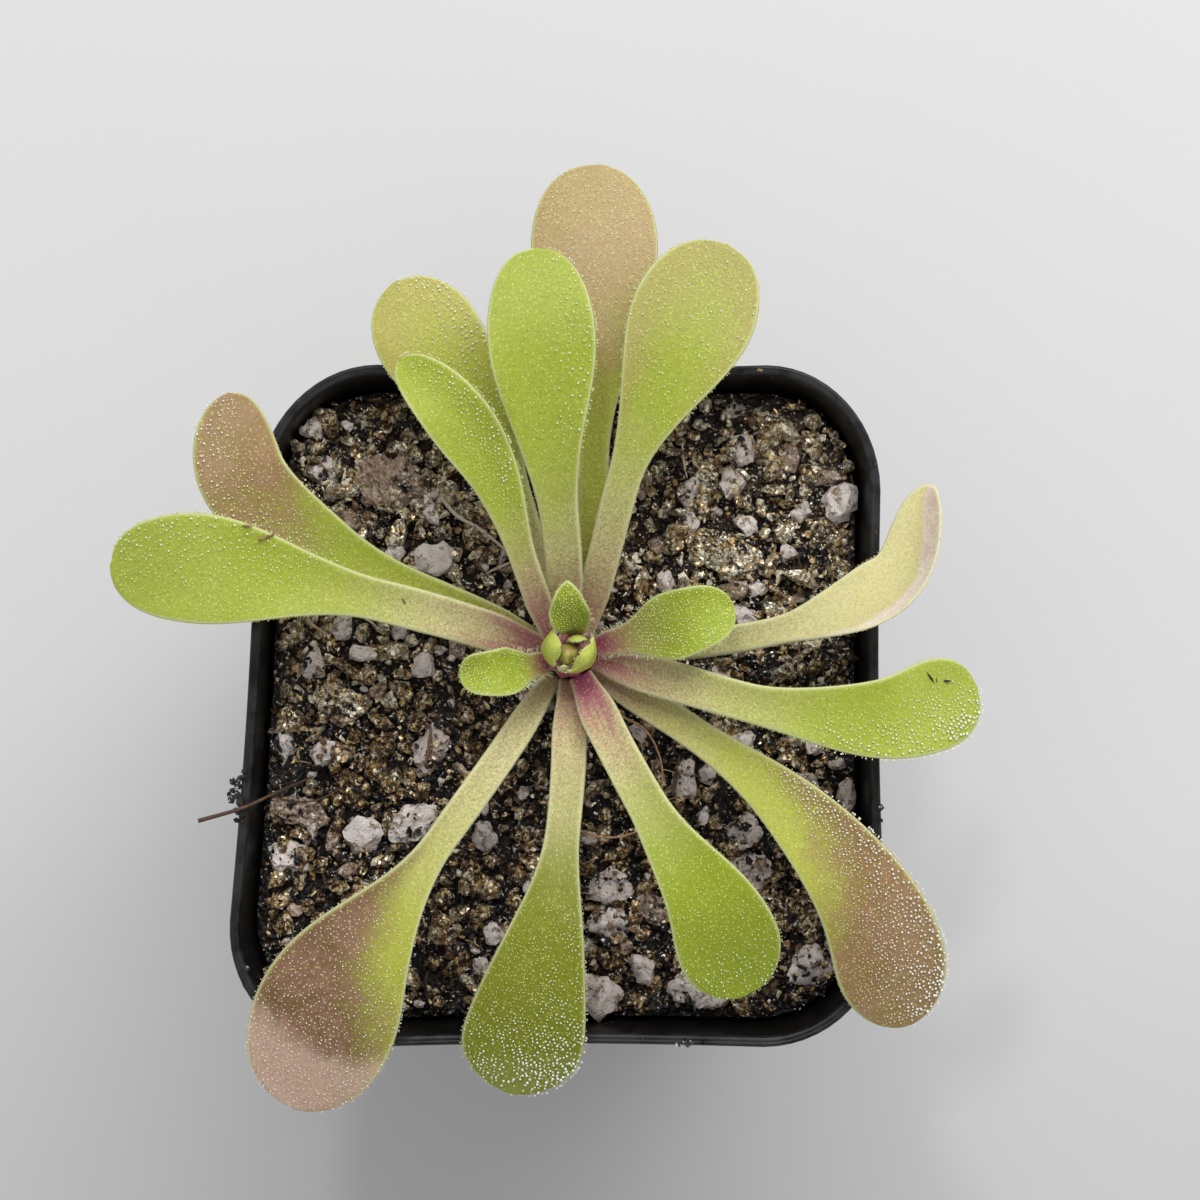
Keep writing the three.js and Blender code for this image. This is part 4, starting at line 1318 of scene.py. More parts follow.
def build_stray_crumbs(material):
    """The crumbs that cling to the pot's lip and the flecks that lie on the leaves."""
    random = np.random.default_rng(17)
    leaves = {leaf.name: leaf for leaf in LARGE_LEAVES}
    spots = list(LIP_CRUMBS)
    for name, along, across, size in FLECKS:
        place, up = leaf_surface(leaves[name], np.array([along]), np.array([across]))
        rise = leaf_thickness(leaves[name], along, across) / 2 + size * 0.15
        spots.append((*(place + up * rise)[0], size))
    shapes = crumb_shapes(8, len(spots))
    points, faces, first = [], [], 0
    flat, long = np.array([1, 1, 0.7]), np.array([2.2, 0.5, 0.5])
    stretches = [flat] * len(LIP_CRUMBS) + [long] * len(FLECKS)
    for (*place, size), (shape, triangles), stretch in zip(spots, shapes, stretches):
        points.append(shape * size * stretch @ lying_turns(random, 1)[0].T + place)
        faces.append(triangles + first)
        first += len(shape)
    obj = new_object("stray_crumbs", np.concatenate(points), np.concatenate(faces))
    carry(obj, "tone", np.full(first, 0.54))
    smooth_surface(obj, 12)
    complete(obj, "stray_crumbs", material)


# Leaves


def smooth_line(points, steps=40):
    """A dense line along the centripetal Catmull-Rom curve through the points."""
    points = np.array(points, float)
    ends = [2 * points[0] - points[1], *points, 2 * points[-1] - points[-2]]
    share = np.linspace(0, 1, steps, endpoint=False)[:, None]
    line = []
    for before, start, end, after in zip(ends, ends[1:], ends[2:], ends[3:]):
        gaps = [np.linalg.norm(b - a) ** 0.5 for a, b in ((before, start), (start, end), (end, after))]
        middle = (end - start) / gaps[1]
        leave = ((start - before) / gaps[0] - (end - before) / (gaps[0] + gaps[1]) + middle) * gaps[1]
        arrive = (middle - (after - start) / (gaps[1] + gaps[2]) + (after - end) / gaps[2]) * gaps[1]
        square = 3 * (end - start) - 2 * leave - arrive
        cube = 2 * (start - end) + leave + arrive
        line.append(start + leave * share + square * share ** 2 + cube * share ** 3)
    return np.concatenate([*line, points[-1:]])


def follow(line, shares):
    """Places and directions at these shares of a line's length."""
    lengths = np.concatenate([[0], np.cumsum(np.linalg.norm(np.diff(line, axis=0), axis=1))])
    wanted = np.asarray(shares) * lengths[-1]
    step = lengths[-1] * 0.01

    def at(distance):
        return np.stack([np.interp(distance, lengths, line[:, axis]) for axis in range(3)], axis=-1)

    ahead = at(np.minimum(wanted + step, lengths[-1])) - at(np.maximum(wanted - step, 0))
    return at(wanted), ahead / np.linalg.norm(ahead, axis=-1, keepdims=True)


def length_of(line):
    """The length of a line of points."""
    return np.linalg.norm(np.diff(line, axis=0), axis=1).sum()


def leaf_width(leaf, along):
    """The leaf's full width at shares of its length."""
    base = leaf.stalk * blend(BASE_WIDTH_SHARE, 1, smooth_step(0, BASE_LENGTH_SHARE, along))
    swelling = base + (leaf.blade - leaf.stalk) * smooth_step(leaf.neck, leaf.broad, along)
    tip = np.clip((along - leaf.broad) / (1 - leaf.broad), 0, 1)
    rounding = leaf.blade * np.maximum(1 - tip * tip, 0.0006) ** leaf.taper
    return np.where(along <= leaf.broad, swelling, rounding)


def stalkiness(leaf, along):
    """How much of a stalk the leaf still is, from 1 at its base to 0 at its broadest."""
    return 1 - smooth_step(leaf.neck, leaf.broad, along)


def leaf_thickness(leaf, along, across):
    """The leaf's thickness at shares of its length and half width."""
    body = blend(BLADE_THICKNESS, STALK_THICKNESS, stalkiness(leaf, along)) * leaf.flesh
    return np.maximum(body * np.sqrt(1 - MARGIN_THINNING * across * across), MARGIN_THICKNESS)


def leaf_surface(leaf, along, across):
    """Places on the leaf's middle sheet, and which way is up out of it there."""
    along, across = np.broadcast_arrays(np.asarray(along, float), np.asarray(across, float))
    middle, ahead = follow(smooth_line(leaf.path), along)
    if leaf.across:
        side = np.broadcast_to(np.array(leaf.across, float), ahead.shape)
    else:
        side = np.cross(ahead, UP)
        side /= np.linalg.norm(side, axis=-1, keepdims=True)
    roll = np.radians(leaf.roll) * smooth_step(ROLL_START, ROLL_START + ROLL_LENGTH, along)[..., None]
    side = side * np.cos(roll) + np.cross(ahead, side) * np.sin(roll)
    up = np.cross(side, ahead)
    width = leaf_width(leaf, along)[..., None]
    spread = across[..., None]
    stalky = stalkiness(leaf, along)[..., None]
    lift = width * blend(leaf.cup, STALK_CHANNEL, stalky)
    seed = len(leaf.name) + leaf.path[-1][0]
    far = along[..., None]
    ripple = RIPPLE_DEPTH * np.sin(far * RIPPLE_WAVES + seed + 2 * spread) * np.abs(spread) ** 3
    dimple = DIMPLE_DEPTH * np.sin(far * DIMPLE_WAVES + seed * 3) * np.cos(spread * 2.2 + seed)
    edge = 1 + UNEVEN_WIDTH * np.sin(far * UNEVEN_WAVES + 2 * seed + 3 * np.sign(spread))
    sheet = middle + side * spread * edge * width / 2
    sheet = sheet + up * (lift * spread ** 2 + (ripple + dimple) * (1 - stalky) * np.minimum(1, width / 8))
    slope = 4 * lift * spread / width
    out = up - side * slope
    return sheet, out / np.linalg.norm(out, axis=-1, keepdims=True)


def leaf_rows(leaf):
    """Shares of the length where the mesh has its rows, closer towards the round tip."""
    body = np.linspace(0, leaf.broad, LEAF_ROWS - TIP_ROWS, endpoint=False)
    turn = np.linspace(0, math.pi / 2, TIP_ROWS + 1)
    return np.concatenate([body, leaf.broad + (1 - leaf.broad) * np.sin(turn)])


def build_leaf(leaf, colours):
    """One leaf: a sheet drawn along its path, thickened, rounded and smoothed."""
    obj = fresh(bpy.ops.mesh.primitive_grid_add, x_subdivisions=LEAF_STRIPS, y_subdivisions=LEAF_ROWS, size=1)
    drawn = points_of(obj)
    across = drawn[:, 0] * 2
    row = np.rint((drawn[:, 1] + 0.5) * LEAF_ROWS).astype(int)
    along = leaf_rows(leaf)[row]
    sheet, _ = leaf_surface(leaf, along, across)
    set_points(obj, sheet)
    carry(obj, "edge", (1 - np.abs(across)) * leaf_width(leaf, along) / 2)
    corners = np.empty(len(obj.data.loops), np.int32)
    obj.data.loops.foreach_get("vertex_index", corners)
    shares = np.column_stack([across[corners], along[corners]])
    obj.data.uv_layers.active.data.foreach_set("uv", shares.ravel().astype(np.float32))
    flesh = obj.vertex_groups.new(name="flesh")
    thickest = STALK_THICKNESS * leaf.flesh
    for index, thickness in enumerate(leaf_thickness(leaf, along, across)):
        flesh.add([index], thickness / thickest, "REPLACE")
    apply_modifier(obj, "SOLIDIFY", thickness=thickest, offset=0, vertex_group="flesh")
    apply_modifier(obj, "SUBSURF", levels=1, render_levels=1)
    smooth_surface(obj)
    return complete(obj, leaf.name + "_blade", leaf_finish(leaf, colours), [leaf.name])


def leaf_finish(leaf, colours):
    """Soft leaf skin: a dull stalk, a fresh blade, a flush towards the tip, a pale margin, and painted light
    where the blade reaches past the pot's rim.
    """
    finish = Finish(leaf.name)
    shares = finish.node("ShaderNodeUVMap", {"uv_map": "UVMap"})
    across = finish.part(shares, "X")
    along = finish.part(shares, "Y")
    edge = finish.attribute("edge")
    patches = finish.noise(7, 2)
    mottle = finish.noise(1.4, 4, 0.65)
    grain = finish.noise(0.32, 2, 0.7)
    specks = finish.noise(0.24, 2, 0.6)
    streaks = finish.streaks(across, along, 2.6, len(leaf.name) + leaf.stalk)

    blade_share = finish.rise(along + (patches - 0.5) * 0.25, leaf.neck - 0.22, leaf.neck + 0.22)
    colour = finish.mix(blade_share, getattr(colours, leaf.stalk_colour), getattr(colours, leaf.blade_colour))
    colour = finish.mix(finish.rise(mottle, 0.5, 0.75) * 0.2, colour, colours.yellow_green)
    flushed = finish.rise(
        along + across * leaf.flush_lean + across * across * leaf.flush_rim
        + (patches - 0.5) * 0.2 + (mottle - 0.5) * 0.2,
        leaf.flush_start, leaf.flush_full,
    )
    flush_colour = finish.mix(
        finish.rise(mottle * 0.5 + patches * 0.5, 0.42, 0.6) * 0.35,
        getattr(colours, leaf.flush_colour), colours.stalk_mauve,
    )
    colour = finish.mix(flushed * (0.6 + finish.rise(edge, 0, 0.7) * 0.4) * leaf.flush, colour, flush_colour)
    from_base = along + (streaks - 0.5) * 0.32
    haze = (1 - finish.rise(from_base, leaf.purple_reach * 0.5, leaf.purple_reach * 1.8)) * 0.5
    colour = finish.mix(haze * leaf.purple, colour, colours.stalk_mauve)
    purple = 1 - finish.rise(from_base, 0.03, leaf.purple_reach)
    colour = finish.mix(purple * leaf.purple, colour, colours.crown_purple)
    # Painted light: beyond the pot's rim the blade is painted paler, as the pale floor's light shows through
    # it there
    colour = finish.mix(finish.beyond_pot() * leaf.painted_glow, colour, getattr(colours, leaf.painted_glow_colour))
    colour = finish.mix(finish.dots(0.46, 0.1) * leaf.dots, colour, colours.dot_yellow)
    speckled = finish.rise(specks, 0.54, 0.66) * (0.5 - blade_share * 0.32)
    colour = finish.mix(speckled, colour, colours.speck_dark)
    depth = 0.34 - blade_share * 0.18
    colour = finish.shade(colour, 1 + (finish.rise(grain, 0.36, 0.64) - 0.5) * depth)
    colour = finish.mix((1 - finish.rise(edge, 0, 0.5)) * 0.26, colour, colours.margin_pale)
    colour = finish.mix((1 - finish.rise(edge, 0.02, 0.13)) * 0.36, colour, colours.margin_pale)
    return finish.done(
        Base_Color=colour,
        Roughness=0.45 + mottle * 0.2,
        Specular_IOR_Level=0.32,
        Subsurface_Weight=0.25,
        Subsurface_Radius=(1.0, 0.9, 0.3),
        Subsurface_Scale=1.2 * MM,
        Normal=finish.bump(grain * 0.4 + mottle * 0.9, 0.06),
    )


# Dew: drops on short stalks, as the leaves of a butterwort carry


def dew_shapes():
    """The parts of one sticky gland: a thin stalk of unit height and a round drop of unit radius."""
    stalk = fresh(
        bpy.ops.mesh.primitive_cone_add, vertices=3, radius1=1, radius2=0.6, depth=1, location=(0, 0, 0.5),
    )
    bpy.ops.object.transform_apply(location=True)
    stalk = take(stalk)
    drop = fresh(bpy.ops.mesh.primitive_ico_sphere_add, subdivisions=1, radius=1)
    drop = take(drop)
    return stalk, drop


def dew_on_blade(leaf, random):
    """Places of the drops on a leaf's upper side, on a loose lattice: along, across, and size."""
    length = length_of(smooth_line(leaf.path))
    row_gap = leaf.dew_spacing * DEW_ROW_SHARE
    found = []
    for row in range(int(length / row_gap)):
        along = (row + 0.5) * row_gap / length
        half = leaf_width(leaf, np.array([along]))[0] / 2
        reach = half - DEW_EDGE_GAP
        offset = -reach + (row % 2) * leaf.dew_spacing / 2
        while offset <= reach:
            found.append((along, offset / half))
            offset += leaf.dew_spacing
    places = np.array(found)
    along = places[:, 0] + random.normal(size=len(places)) * DEW_STRAY * leaf.dew_spacing / length
    half = leaf_width(leaf, along) / 2
    across = places[:, 1] + random.normal(size=len(places)) * DEW_STRAY * leaf.dew_spacing / half
    stalky = stalkiness(leaf, along)
    middle, _ = leaf_surface(leaf, along, across)
    wanted = (1 - 0.6 * smooth_step(0.7, 1, stalky)) * (0.8 + 0.35 * waves(middle, len(leaf.name), 5))
    on_blade = (np.abs(across) < 0.97) & (along < 0.99) & (along > BARE_BASE)
    kept = (random.uniform(size=len(along)) < wanted) & on_blade
    size = drop_size(leaf, along, across) * random.uniform(0.6, 1.3, len(along))
    return along[kept], across[kept], size[kept]


def drop_size(leaf, along, across):
    """How big the drops are at places on a leaf, beside a full drop."""
    lean = np.maximum(1 + leaf.dew_lean * across, 0.3)
    tip = 1 + leaf.dew_tip * smooth_step(0.7, 0.98, along)
    return leaf.dew_size * lean * tip * blend(1, 0.45, smooth_step(0.5, 1, stalkiness(leaf, along)))


def dew_on_margin(leaf, random):
    """The fringe of drops that stand out from a leaf's margin: places, directions and sizes."""
    rows = leaf_rows(leaf)
    rows = rows[rows > BARE_BASE]
    left, _ = leaf_surface(leaf, rows, -0.985)
    right, _ = leaf_surface(leaf, rows, 0.985)
    _, left_up = leaf_surface(leaf, rows, -0.6)
    _, right_up = leaf_surface(leaf, rows, 0.6)
    edge = np.concatenate([left, right[::-1]])
    up = np.concatenate([left_up, right_up[::-1]])
    lengths = np.concatenate([[0], np.cumsum(np.linalg.norm(np.diff(edge, axis=0), axis=1))])
    plain = int(lengths[-1] / FRINGE_SPACING)
    hairy = int(lengths[-1] / HAIR_SPACING) if leaf.hair else 0
    wanted = random.uniform(0, lengths[-1], plain + hairy)
    count = len(wanted)

    def at(distance, values):
        return np.stack([np.interp(distance, lengths, values[:, axis]) for axis in range(3)], axis=1)

    place = at(wanted, edge)
    ahead = at(np.minimum(wanted + 0.4, lengths[-1]), edge) - at(np.maximum(wanted - 0.4, 0), edge)
    ahead /= np.linalg.norm(ahead, axis=1)[:, None]
    upwards = at(wanted, up)
    out = np.cross(upwards, ahead)
    rise = random.uniform(-0.1, 0.9, count)[:, None]
    slant = random.normal(0, 0.25, count)[:, None]
    direction = out + upwards * rise + ahead * slant
    direction /= np.linalg.norm(direction, axis=1)[:, None]
    along = np.interp(wanted, lengths, np.concatenate([rows, rows[::-1]]))
    side = np.interp(wanted, lengths, np.repeat([-1.0, 1.0], len(rows)))
    size = drop_size(leaf, along, side) * random.uniform(0.5, 1.1, count)
    hair = leaf.hair * (1 - smooth_step(0.35, 0.66, along)) * random.uniform(0.5, 1.1, count)
    hair[:plain] = 0
    kept = (np.arange(count) < plain) | (hair > 0.2)
    return place[kept], direction[kept], size[kept], hair[kept]


def build_dew(leaf, number, shapes, dew, materials):
    """All the sticky glands of one leaf."""
    random = np.random.default_rng(200 + number)
    along, across, size = dew_on_blade(leaf, random)
    place, up = leaf_surface(leaf, along, across)
    place = place + up * (leaf_thickness(leaf, along, across) / 2)[:, None]
    lean = up + random.normal(size=up.shape) * 0.14
    edge_place, edge_direction, edge_size, hair = dew_on_margin(leaf, random)
    place = np.concatenate([place, edge_place])
    direction = np.concatenate([lean, edge_direction])
    direction /= np.linalg.norm(direction, axis=1)[:, None]
    margin_size = edge_size * EDGE_DROP_SHARE / (1 + hair * HAIR_DROP_SHRINK)
    radius = dew.drop_radius / MM * np.concatenate([size, margin_size])
    height = dew.stalk_height / MM * np.concatenate([size * 0.5, 0.2 + edge_size * 0.8])
    hair = np.concatenate([np.zeros(len(size)), hair])
    height += hair

    helper = np.where(np.abs(direction[:, 2:]) > 0.9, np.array([[1.0, 0, 0]]), UP[None])
    first = np.cross(direction, helper)
    first /= np.linalg.norm(first, axis=1)[:, None]
    second = np.cross(direction, first)
    axes = np.stack([first, second, direction], axis=2)
    (stalk, stalk_faces), (drop, drop_faces) = shapes
    thickness = np.where(hair > 0, HAIR_RADIUS, radius * 0.25 + 0.01)
    thin = np.column_stack([thickness, thickness, height])
    stalks = np.einsum("nij,nkj->nki", axes, stalk[None] * thin[:, None, :]) + place[:, None, :]
    heads = np.einsum("nij,nkj->nki", axes, drop[None] * radius[:, None, None])
    heads = heads + (place + direction * height[:, None])[:, None, :]
    count = len(place)
    stalk_starts = np.arange(count)[:, None, None] * len(stalk)
    drop_starts = count * len(stalk) + np.arange(count)[:, None, None] * len(drop)
    points = np.concatenate([stalks.reshape(-1, 3), heads.reshape(-1, 3)])
    faces = np.concatenate([
        (stalk_faces[None] + stalk_starts).reshape(-1, 3), (drop_faces[None] + drop_starts).reshape(-1, 3),
    ])
    obj = new_object(leaf.name + "_dew", points, faces)
    # How much painted light each drop gets: the clearer it is, the whiter it is painted
    clear = np.where(hair > 0, 0.6, smooth_step(CLEAR_DROP[0], CLEAR_DROP[1], radius))
    carry(obj, "clear", np.concatenate([np.repeat(clear, len(stalk)), np.repeat(clear, len(drop))]))
    smooth_surface(obj)
    return complete(obj, leaf.name + "_dew", materials[leaf.slot])


def dew_finish(name, colour, colours):
    """Sticky drops: small ones take the colour of the leaf under them; big ones are painted near white, as
    painted light for what a clear drop gathers and gives back.
    """
    finish = Finish(name)
    tint = finish.noise(2, 2)
    clear = finish.attribute("clear")
    return finish.done(
        Base_Color=finish.mix(0.1 + clear * 0.7 + tint * 0.1, colour, colours.painted_drop_light),
        Roughness=0.3 - clear * 0.24,
        Specular_IOR_Level=0.7,
        Subsurface_Weight=0.2,
        Subsurface_Radius=(1, 1, 0.6),
        Subsurface_Scale=0.3 * MM,
    )


# Crown, bud tip, roots and needle


def turned_body(x, y, section, sides, flutes):
    """A round body about the vertical from pairs of height and radius, with shallow flutes."""
    angles = np.arange(sides) / sides * 2 * math.pi
    flute = 1 + FLUTE_DEPTH * np.sin(flutes * angles)
    rings = [
        np.column_stack([
            x + radius * flute * np.cos(angles), y + radius * flute * np.sin(angles),
            np.full(sides, float(height)),
        ])
        for height, radius in section
    ]
    return raise_rings(rings)


def build_crown(colours):
    """The short fleshy stem in the middle of the rosette, and the folded tip of the bud."""
    crown = turned_body(CROWN_X, CROWN_Y, CROWN_SECTION, CROWN_SIDES, CROWN_FLUTES)
    smooth_surface(crown)
    crown_skin = crown_finish("crown_tissue", colours.crown_purple, colours.stalk_mauve)
    complete(crown, "crown_stem", crown_skin, ["crown"])
    section = [(BUD_TIP_BOTTOM + height, radius) for height, radius in BUD_TIP_SECTION]
    tip = turned_body(BUD_TIP_X, BUD_TIP_Y, section, BUD_TIP_SIDES, BUD_TIP_FLUTES)
    smooth_surface(tip)
    tip_skin = crown_finish("bud_tip", colours.bud_tan, colours.bud_green)
    complete(tip, "bud_tip_fold", tip_skin, ["bud_tip"])


def crown_finish(name, colour, streak_colour):
    """Fleshy plant tissue with streaks that run up it."""
    finish = Finish(name)
    streaks = finish.noise(0.6, 3, stretch=(1, 1, 0.25))
    return finish.done(
        Base_Color=finish.mix(finish.rise(streaks, 0.42, 0.58) * 0.8, colour, streak_colour),
        Roughness=0.4 + streaks * 0.2,
        Subsurface_Weight=0.2,
        Subsurface_Radius=(1, 0.6, 0.5),
        Subsurface_Scale=0.8 * MM,
        Normal=finish.bump(streaks, 0.12),
    )


def drawn_thread(points, thickness, taper=0.5):
    """A round thread along a smooth curve through the points, thinner towards its far end."""
    bpy.ops.object.select_all(action="DESELECT")
    bpy.ops.curve.primitive_nurbs_path_add()
    obj = bpy.context.object
    curve = obj.data
    curve.splines.clear()
    line = smooth_line(points, 10)
    spline = curve.splines.new("POLY")
    spline.points.add(len(line) - 1)
    for point, place, share in zip(spline.points, line, np.linspace(0, 1, len(line))):
        point.co = (*place, 1)
        point.radius = blend(1, taper, share)
    curve.dimensions = "3D"
    curve.bevel_depth = thickness / 2
    curve.bevel_resolution = 2
    curve.use_fill_caps = True
    bpy.ops.object.convert(target="MESH")
    return bpy.context.object


def on_soil(x, y, rise):
    """A place this far above the bed of soil."""
    return (x, y, float(soil_height(x, y)) + rise)


def build_threads(colours):
    """The surface roots, loose fibres and the dry needle that lies across the rim."""
    root = thread_finish("root_tan", colours.root_tan, colours)
    fibre = thread_finish("fibre_pale", colours.fibre_pale, colours)
    needle = thread_finish("needle_brown", colours.needle_brown, colours)
    threads = [
        ("surface_root_front", [
            on_soil(3.4, 1.2, 1.2), on_soil(6.6, -1.2, 1.9), on_soil(9.5, -2.9, 2.2),
            on_soil(11.3, -6.4, 2), on_soil(11.5, -9.9, 0.9), on_soil(11.3, -11.5, -0.5),
        ], 0.34, root, "crown_tissue", []),
        ("surface_root_loop", [
            on_soil(2, -14.6, 0.4), on_soil(3.1, -15.1, 1.2), on_soil(6, -15.4, 1.7),
            on_soil(8.9, -14.6, 1.2), on_soil(10, -13.8, -0.2),
        ], 0.3, root, "crown_tissue", []),
        ("surface_fibre_back", [
            on_soil(-14.3, 24.2, 1.5), on_soil(-12.4, 22, 1.9), on_soil(-9.7, 20.4, 1.9),
            on_soil(-6.8, 18, 1.6), on_soil(-5.6, 16.6, 0.2),
        ], 0.5, fibre, "bark", []),
        ("fallen_needle_strand", [
            (-41.5, -13.2, 71.4), (-36.4, -11.7, 71.1), (-32.8, -10, 68.6), on_soil(-29.2, -8.4, 0.65),
        ], 0.5, needle, "bark", ["fallen_needle"]),
        ("needle_branch", [
            (-33.6, -10.4, 69.2), on_soil(-31, -11.2, 4.2), on_soil(-28.4, -11, 2.4),
            on_soil(-25.6, -9.6, 1.2),
        ], 0.26, needle, "bark", []),
    ]
    for name, points, thickness, material, slot, replaced in threads:
        thread = drawn_thread(points, thickness)
        smooth_surface(thread, 60)
        complete(thread, name, material, replaced)


def thread_finish(name, colour, colours):
    """Dry plant fibre with darker joints."""
    finish = Finish(name)
    streaks = finish.noise(0.5, 3)
    return finish.done(
        Base_Color=finish.mix(finish.rise(streaks, 0.45, 0.7) * 0.6, colour, colours.bark_brown),
        Roughness=0.5 + streaks * 0.3,
        Normal=finish.bump(streaks, 0.08),
    )


# Stage


def looking(place, aim):
    """The turn that looks from a place to an aim, with the pot's back upwards in the picture."""
    forward = (Vector(aim) - Vector(place)).normalized()
    right = forward.cross(Vector((0, 1, 0))).normalized()
    upwards = right.cross(forward)
    return Matrix((right, upwards, -forward)).transposed().to_euler()


def build_stage(stage):
    """The pale floor, the soft light and the camera above the pot."""
    floor = fresh(bpy.ops.mesh.primitive_grid_add, x_subdivisions=8, y_subdivisions=8, size=FLOOR_WIDTH)
    floor.name = "floor"
    floor.data.materials.append(floor_finish(stage.floor_colour))

    world = bpy.data.worlds.new("soft_room")
    bpy.context.scene.world = world
    world.use_nodes = True
    background = world.node_tree.nodes["Background"]
    background.inputs["Color"].default_value = (*stage.room_colour, 1)
    background.inputs["Strength"].default_value = stage.room_strength

    bpy.ops.object.light_add(type="AREA", location=WINDOW_PLACE)
    lamp = bpy.context.object
    lamp.name = "window"
    lamp.data.shape = "RECTANGLE"
    lamp.data.size = WINDOW_WIDTH
    lamp.data.size_y = WINDOW_HEIGHT
    lamp.data.energy = stage.window_power
    lamp.rotation_euler = looking(lamp.location, WINDOW_AIM)

    bpy.ops.object.light_add(type="AREA", location=LAMP_PLACE)
    spark = bpy.context.object
    spark.name = "lamp"
    spark.data.size = LAMP_SIZE
    spark.data.energy = stage.lamp_power
    spark.rotation_euler = looking(spark.location, WINDOW_AIM)

    bpy.ops.object.camera_add(location=CAMERA_PLACE)
    camera = bpy.context.object
    camera.data.lens = CAMERA_LENS
    camera.data.sensor_width = CAMERA_SENSOR
    camera.rotation_euler = looking(CAMERA_PLACE, CAMERA_AIM)
    bpy.context.scene.camera = camera
    bpy.context.scene.view_settings.view_transform = "Standard"


def floor_finish(colour):
    """Smooth pale card with the faintest cloudiness, and painted shade that makes it a little darker in front
    of the pot, away from the window.
    """
    finish = Finish("floor")
    cloud = finish.noise(60, 3)
    along = finish.part(finish.place(), "Y")
    # Painted shade: the card is darkened towards the front, away from the window
    darker = finish.rise(along * (-1 / MM), 0, 80) * 0.13
    return finish.done(
        Base_Color=finish.shade(tuple(colour), 0.98 + cloud * 0.04 - darker),
        Roughness=0.8,
    )


# Add-on


def colour_property(name, description, *channels):
    """A colour that a user may change."""
    return FloatVectorProperty(
        name=name, description=description, subtype="COLOR", size=3, min=0, max=1, default=srgb(*channels),
    )


class ButterwortColours(bpy.types.PropertyGroup):
    """The colours of the plant, its pot and its soil."""

    fresh_green: colour_property("Fresh green", "Most leaf blades", 162, 175, 56)
    vivid_green: colour_property("Vivid green", "The brightest large blade", 148, 164, 36)
    young_green: colour_property("Young green", "Young blades", 156, 172, 48)
    bud_green: colour_property("Bud green", "The curled leaves of the bud", 182, 192, 86)
    yellow_green: colour_property("Yellow green", "Older blades", 177, 182, 68)
    # Painted shade: the front leaf's blade is painted this deeper green for the shade it lies in
    deep_green: colour_property("Deep green", "The shaded front leaf", 128, 135, 24)
    olive_green: colour_property("Olive green", "Stalks of the lower leaves", 184, 190, 82)
    pale_cream: colour_property("Pale cream", "The ageing leaf", 206, 198, 140)
    stalk_cream: colour_property("Stalk cream", "Stalk of the ageing leaf", 196, 190, 134)
    stalk_tan: colour_property("Stalk tan", "Stalks near the crown", 199, 190, 136)
    stalk_mauve: colour_property("Stalk mauve", "Haze along the stalks", 180, 130, 122)
    pink_brown: colour_property("Pink brown", "Flush of the old blades", 176, 142, 104)
    tan_brown: colour_property("Tan brown", "Flush of the darker old blades", 144, 111, 72)
    # Mauve brown: the front left blade's own flush, painted darker as the shade it takes over the pot
    mauve_brown: colour_property("Mauve brown", "Flush of the front left blade", 114, 78, 58)
    # Pale pink is the painted glow of light through the front left blade beyond the pot, and the real colour
    # of the bud stalks
    pale_pink: colour_property("Pale pink", "Glow of the front left blade, and bud stalks", 220, 190, 172)
    pink_white: colour_property("Pink white", "Flush of the ageing leaf", 236, 220, 212)
    crown_purple: colour_property("Crown purple", "The feet of the leaves and the crown", 164, 80, 112)
    bud_tan: colour_property("Bud tan", "The folded bud tip", 172, 146, 84)
    # Pale margin is the thin edge's own colour, and also the painted glow of most blades beyond the pot
    margin_pale: colour_property("Pale margin", "The thin edge of every leaf", 218, 222, 176)
    dot_yellow: colour_property("Yellow dot", "Glands in the leaf skin", 220, 228, 138)
    speck_dark: colour_property("Dark speck", "Fine specks in the leaf skin", 92, 86, 50)
    green_dew: colour_property("Green dew", "Drops on green leaves", 224, 232, 132)
    pink_dew: colour_property("Pink dew", "Drops on flushed leaves", 244, 232, 208)
    # White dew: painted light, the brightness that clear drops gather and give back
    painted_drop_light: colour_property("White dew", "The clearest drops", 244, 246, 234)
    pot_black: colour_property("Pot black", "Moulded pot", 10, 10, 11)
    pot_worn: colour_property("Worn black", "Rubbed lip of the pot", 64, 65, 67)
    soil_black: colour_property("Soil black", "Damp compost", 23, 18, 14)
    soil_brown: colour_property("Soil brown", "Drier compost", 62, 45, 31)
    perlite_pale: colour_property("Pale perlite", "Clean perlite", 240, 229, 222)
    perlite_grey: colour_property("Grey perlite", "Weathered perlite", 206, 190, 182)
    perlite_stain: colour_property("Perlite stain", "Crust on perlite", 128, 100, 72)
    # Pale mica is partly the mica's own colour and partly a painted highlight, for plates that catch the
    # light
    mica_pale_and_sheen: colour_property("Pale mica", "Bright vermiculite plates", 255, 246, 220)
    mica_gold: colour_property("Gold mica", "Vermiculite", 224, 192, 136)
    mica_brown: colour_property("Brown mica", "Duller vermiculite", 150, 118, 78)
    # Dark mica is partly the mica's own colour and partly painted shade, for the shade between the plates
    mica_dark_and_shade: colour_property("Dark mica", "Between the plates", 70, 52, 34)
    # Painted glint white: the colour of the glints painted on the damp soil, and of the brightest grit
    painted_glint_white: colour_property("Glint white", "Wet sparks in the soil", 250, 246, 236)
    bark_brown: colour_property("Bark brown", "Bark", 104, 80, 58)
    bark_pale: colour_property("Pale bark", "Dry bark", 158, 134, 110)
    root_tan: colour_property("Root tan", "Surface roots", 190, 150, 104)
    fibre_pale: colour_property("Pale fibre", "Dry fibres", 204, 192, 170)
    needle_brown: colour_property("Needle brown", "The dry needle", 74, 50, 36)


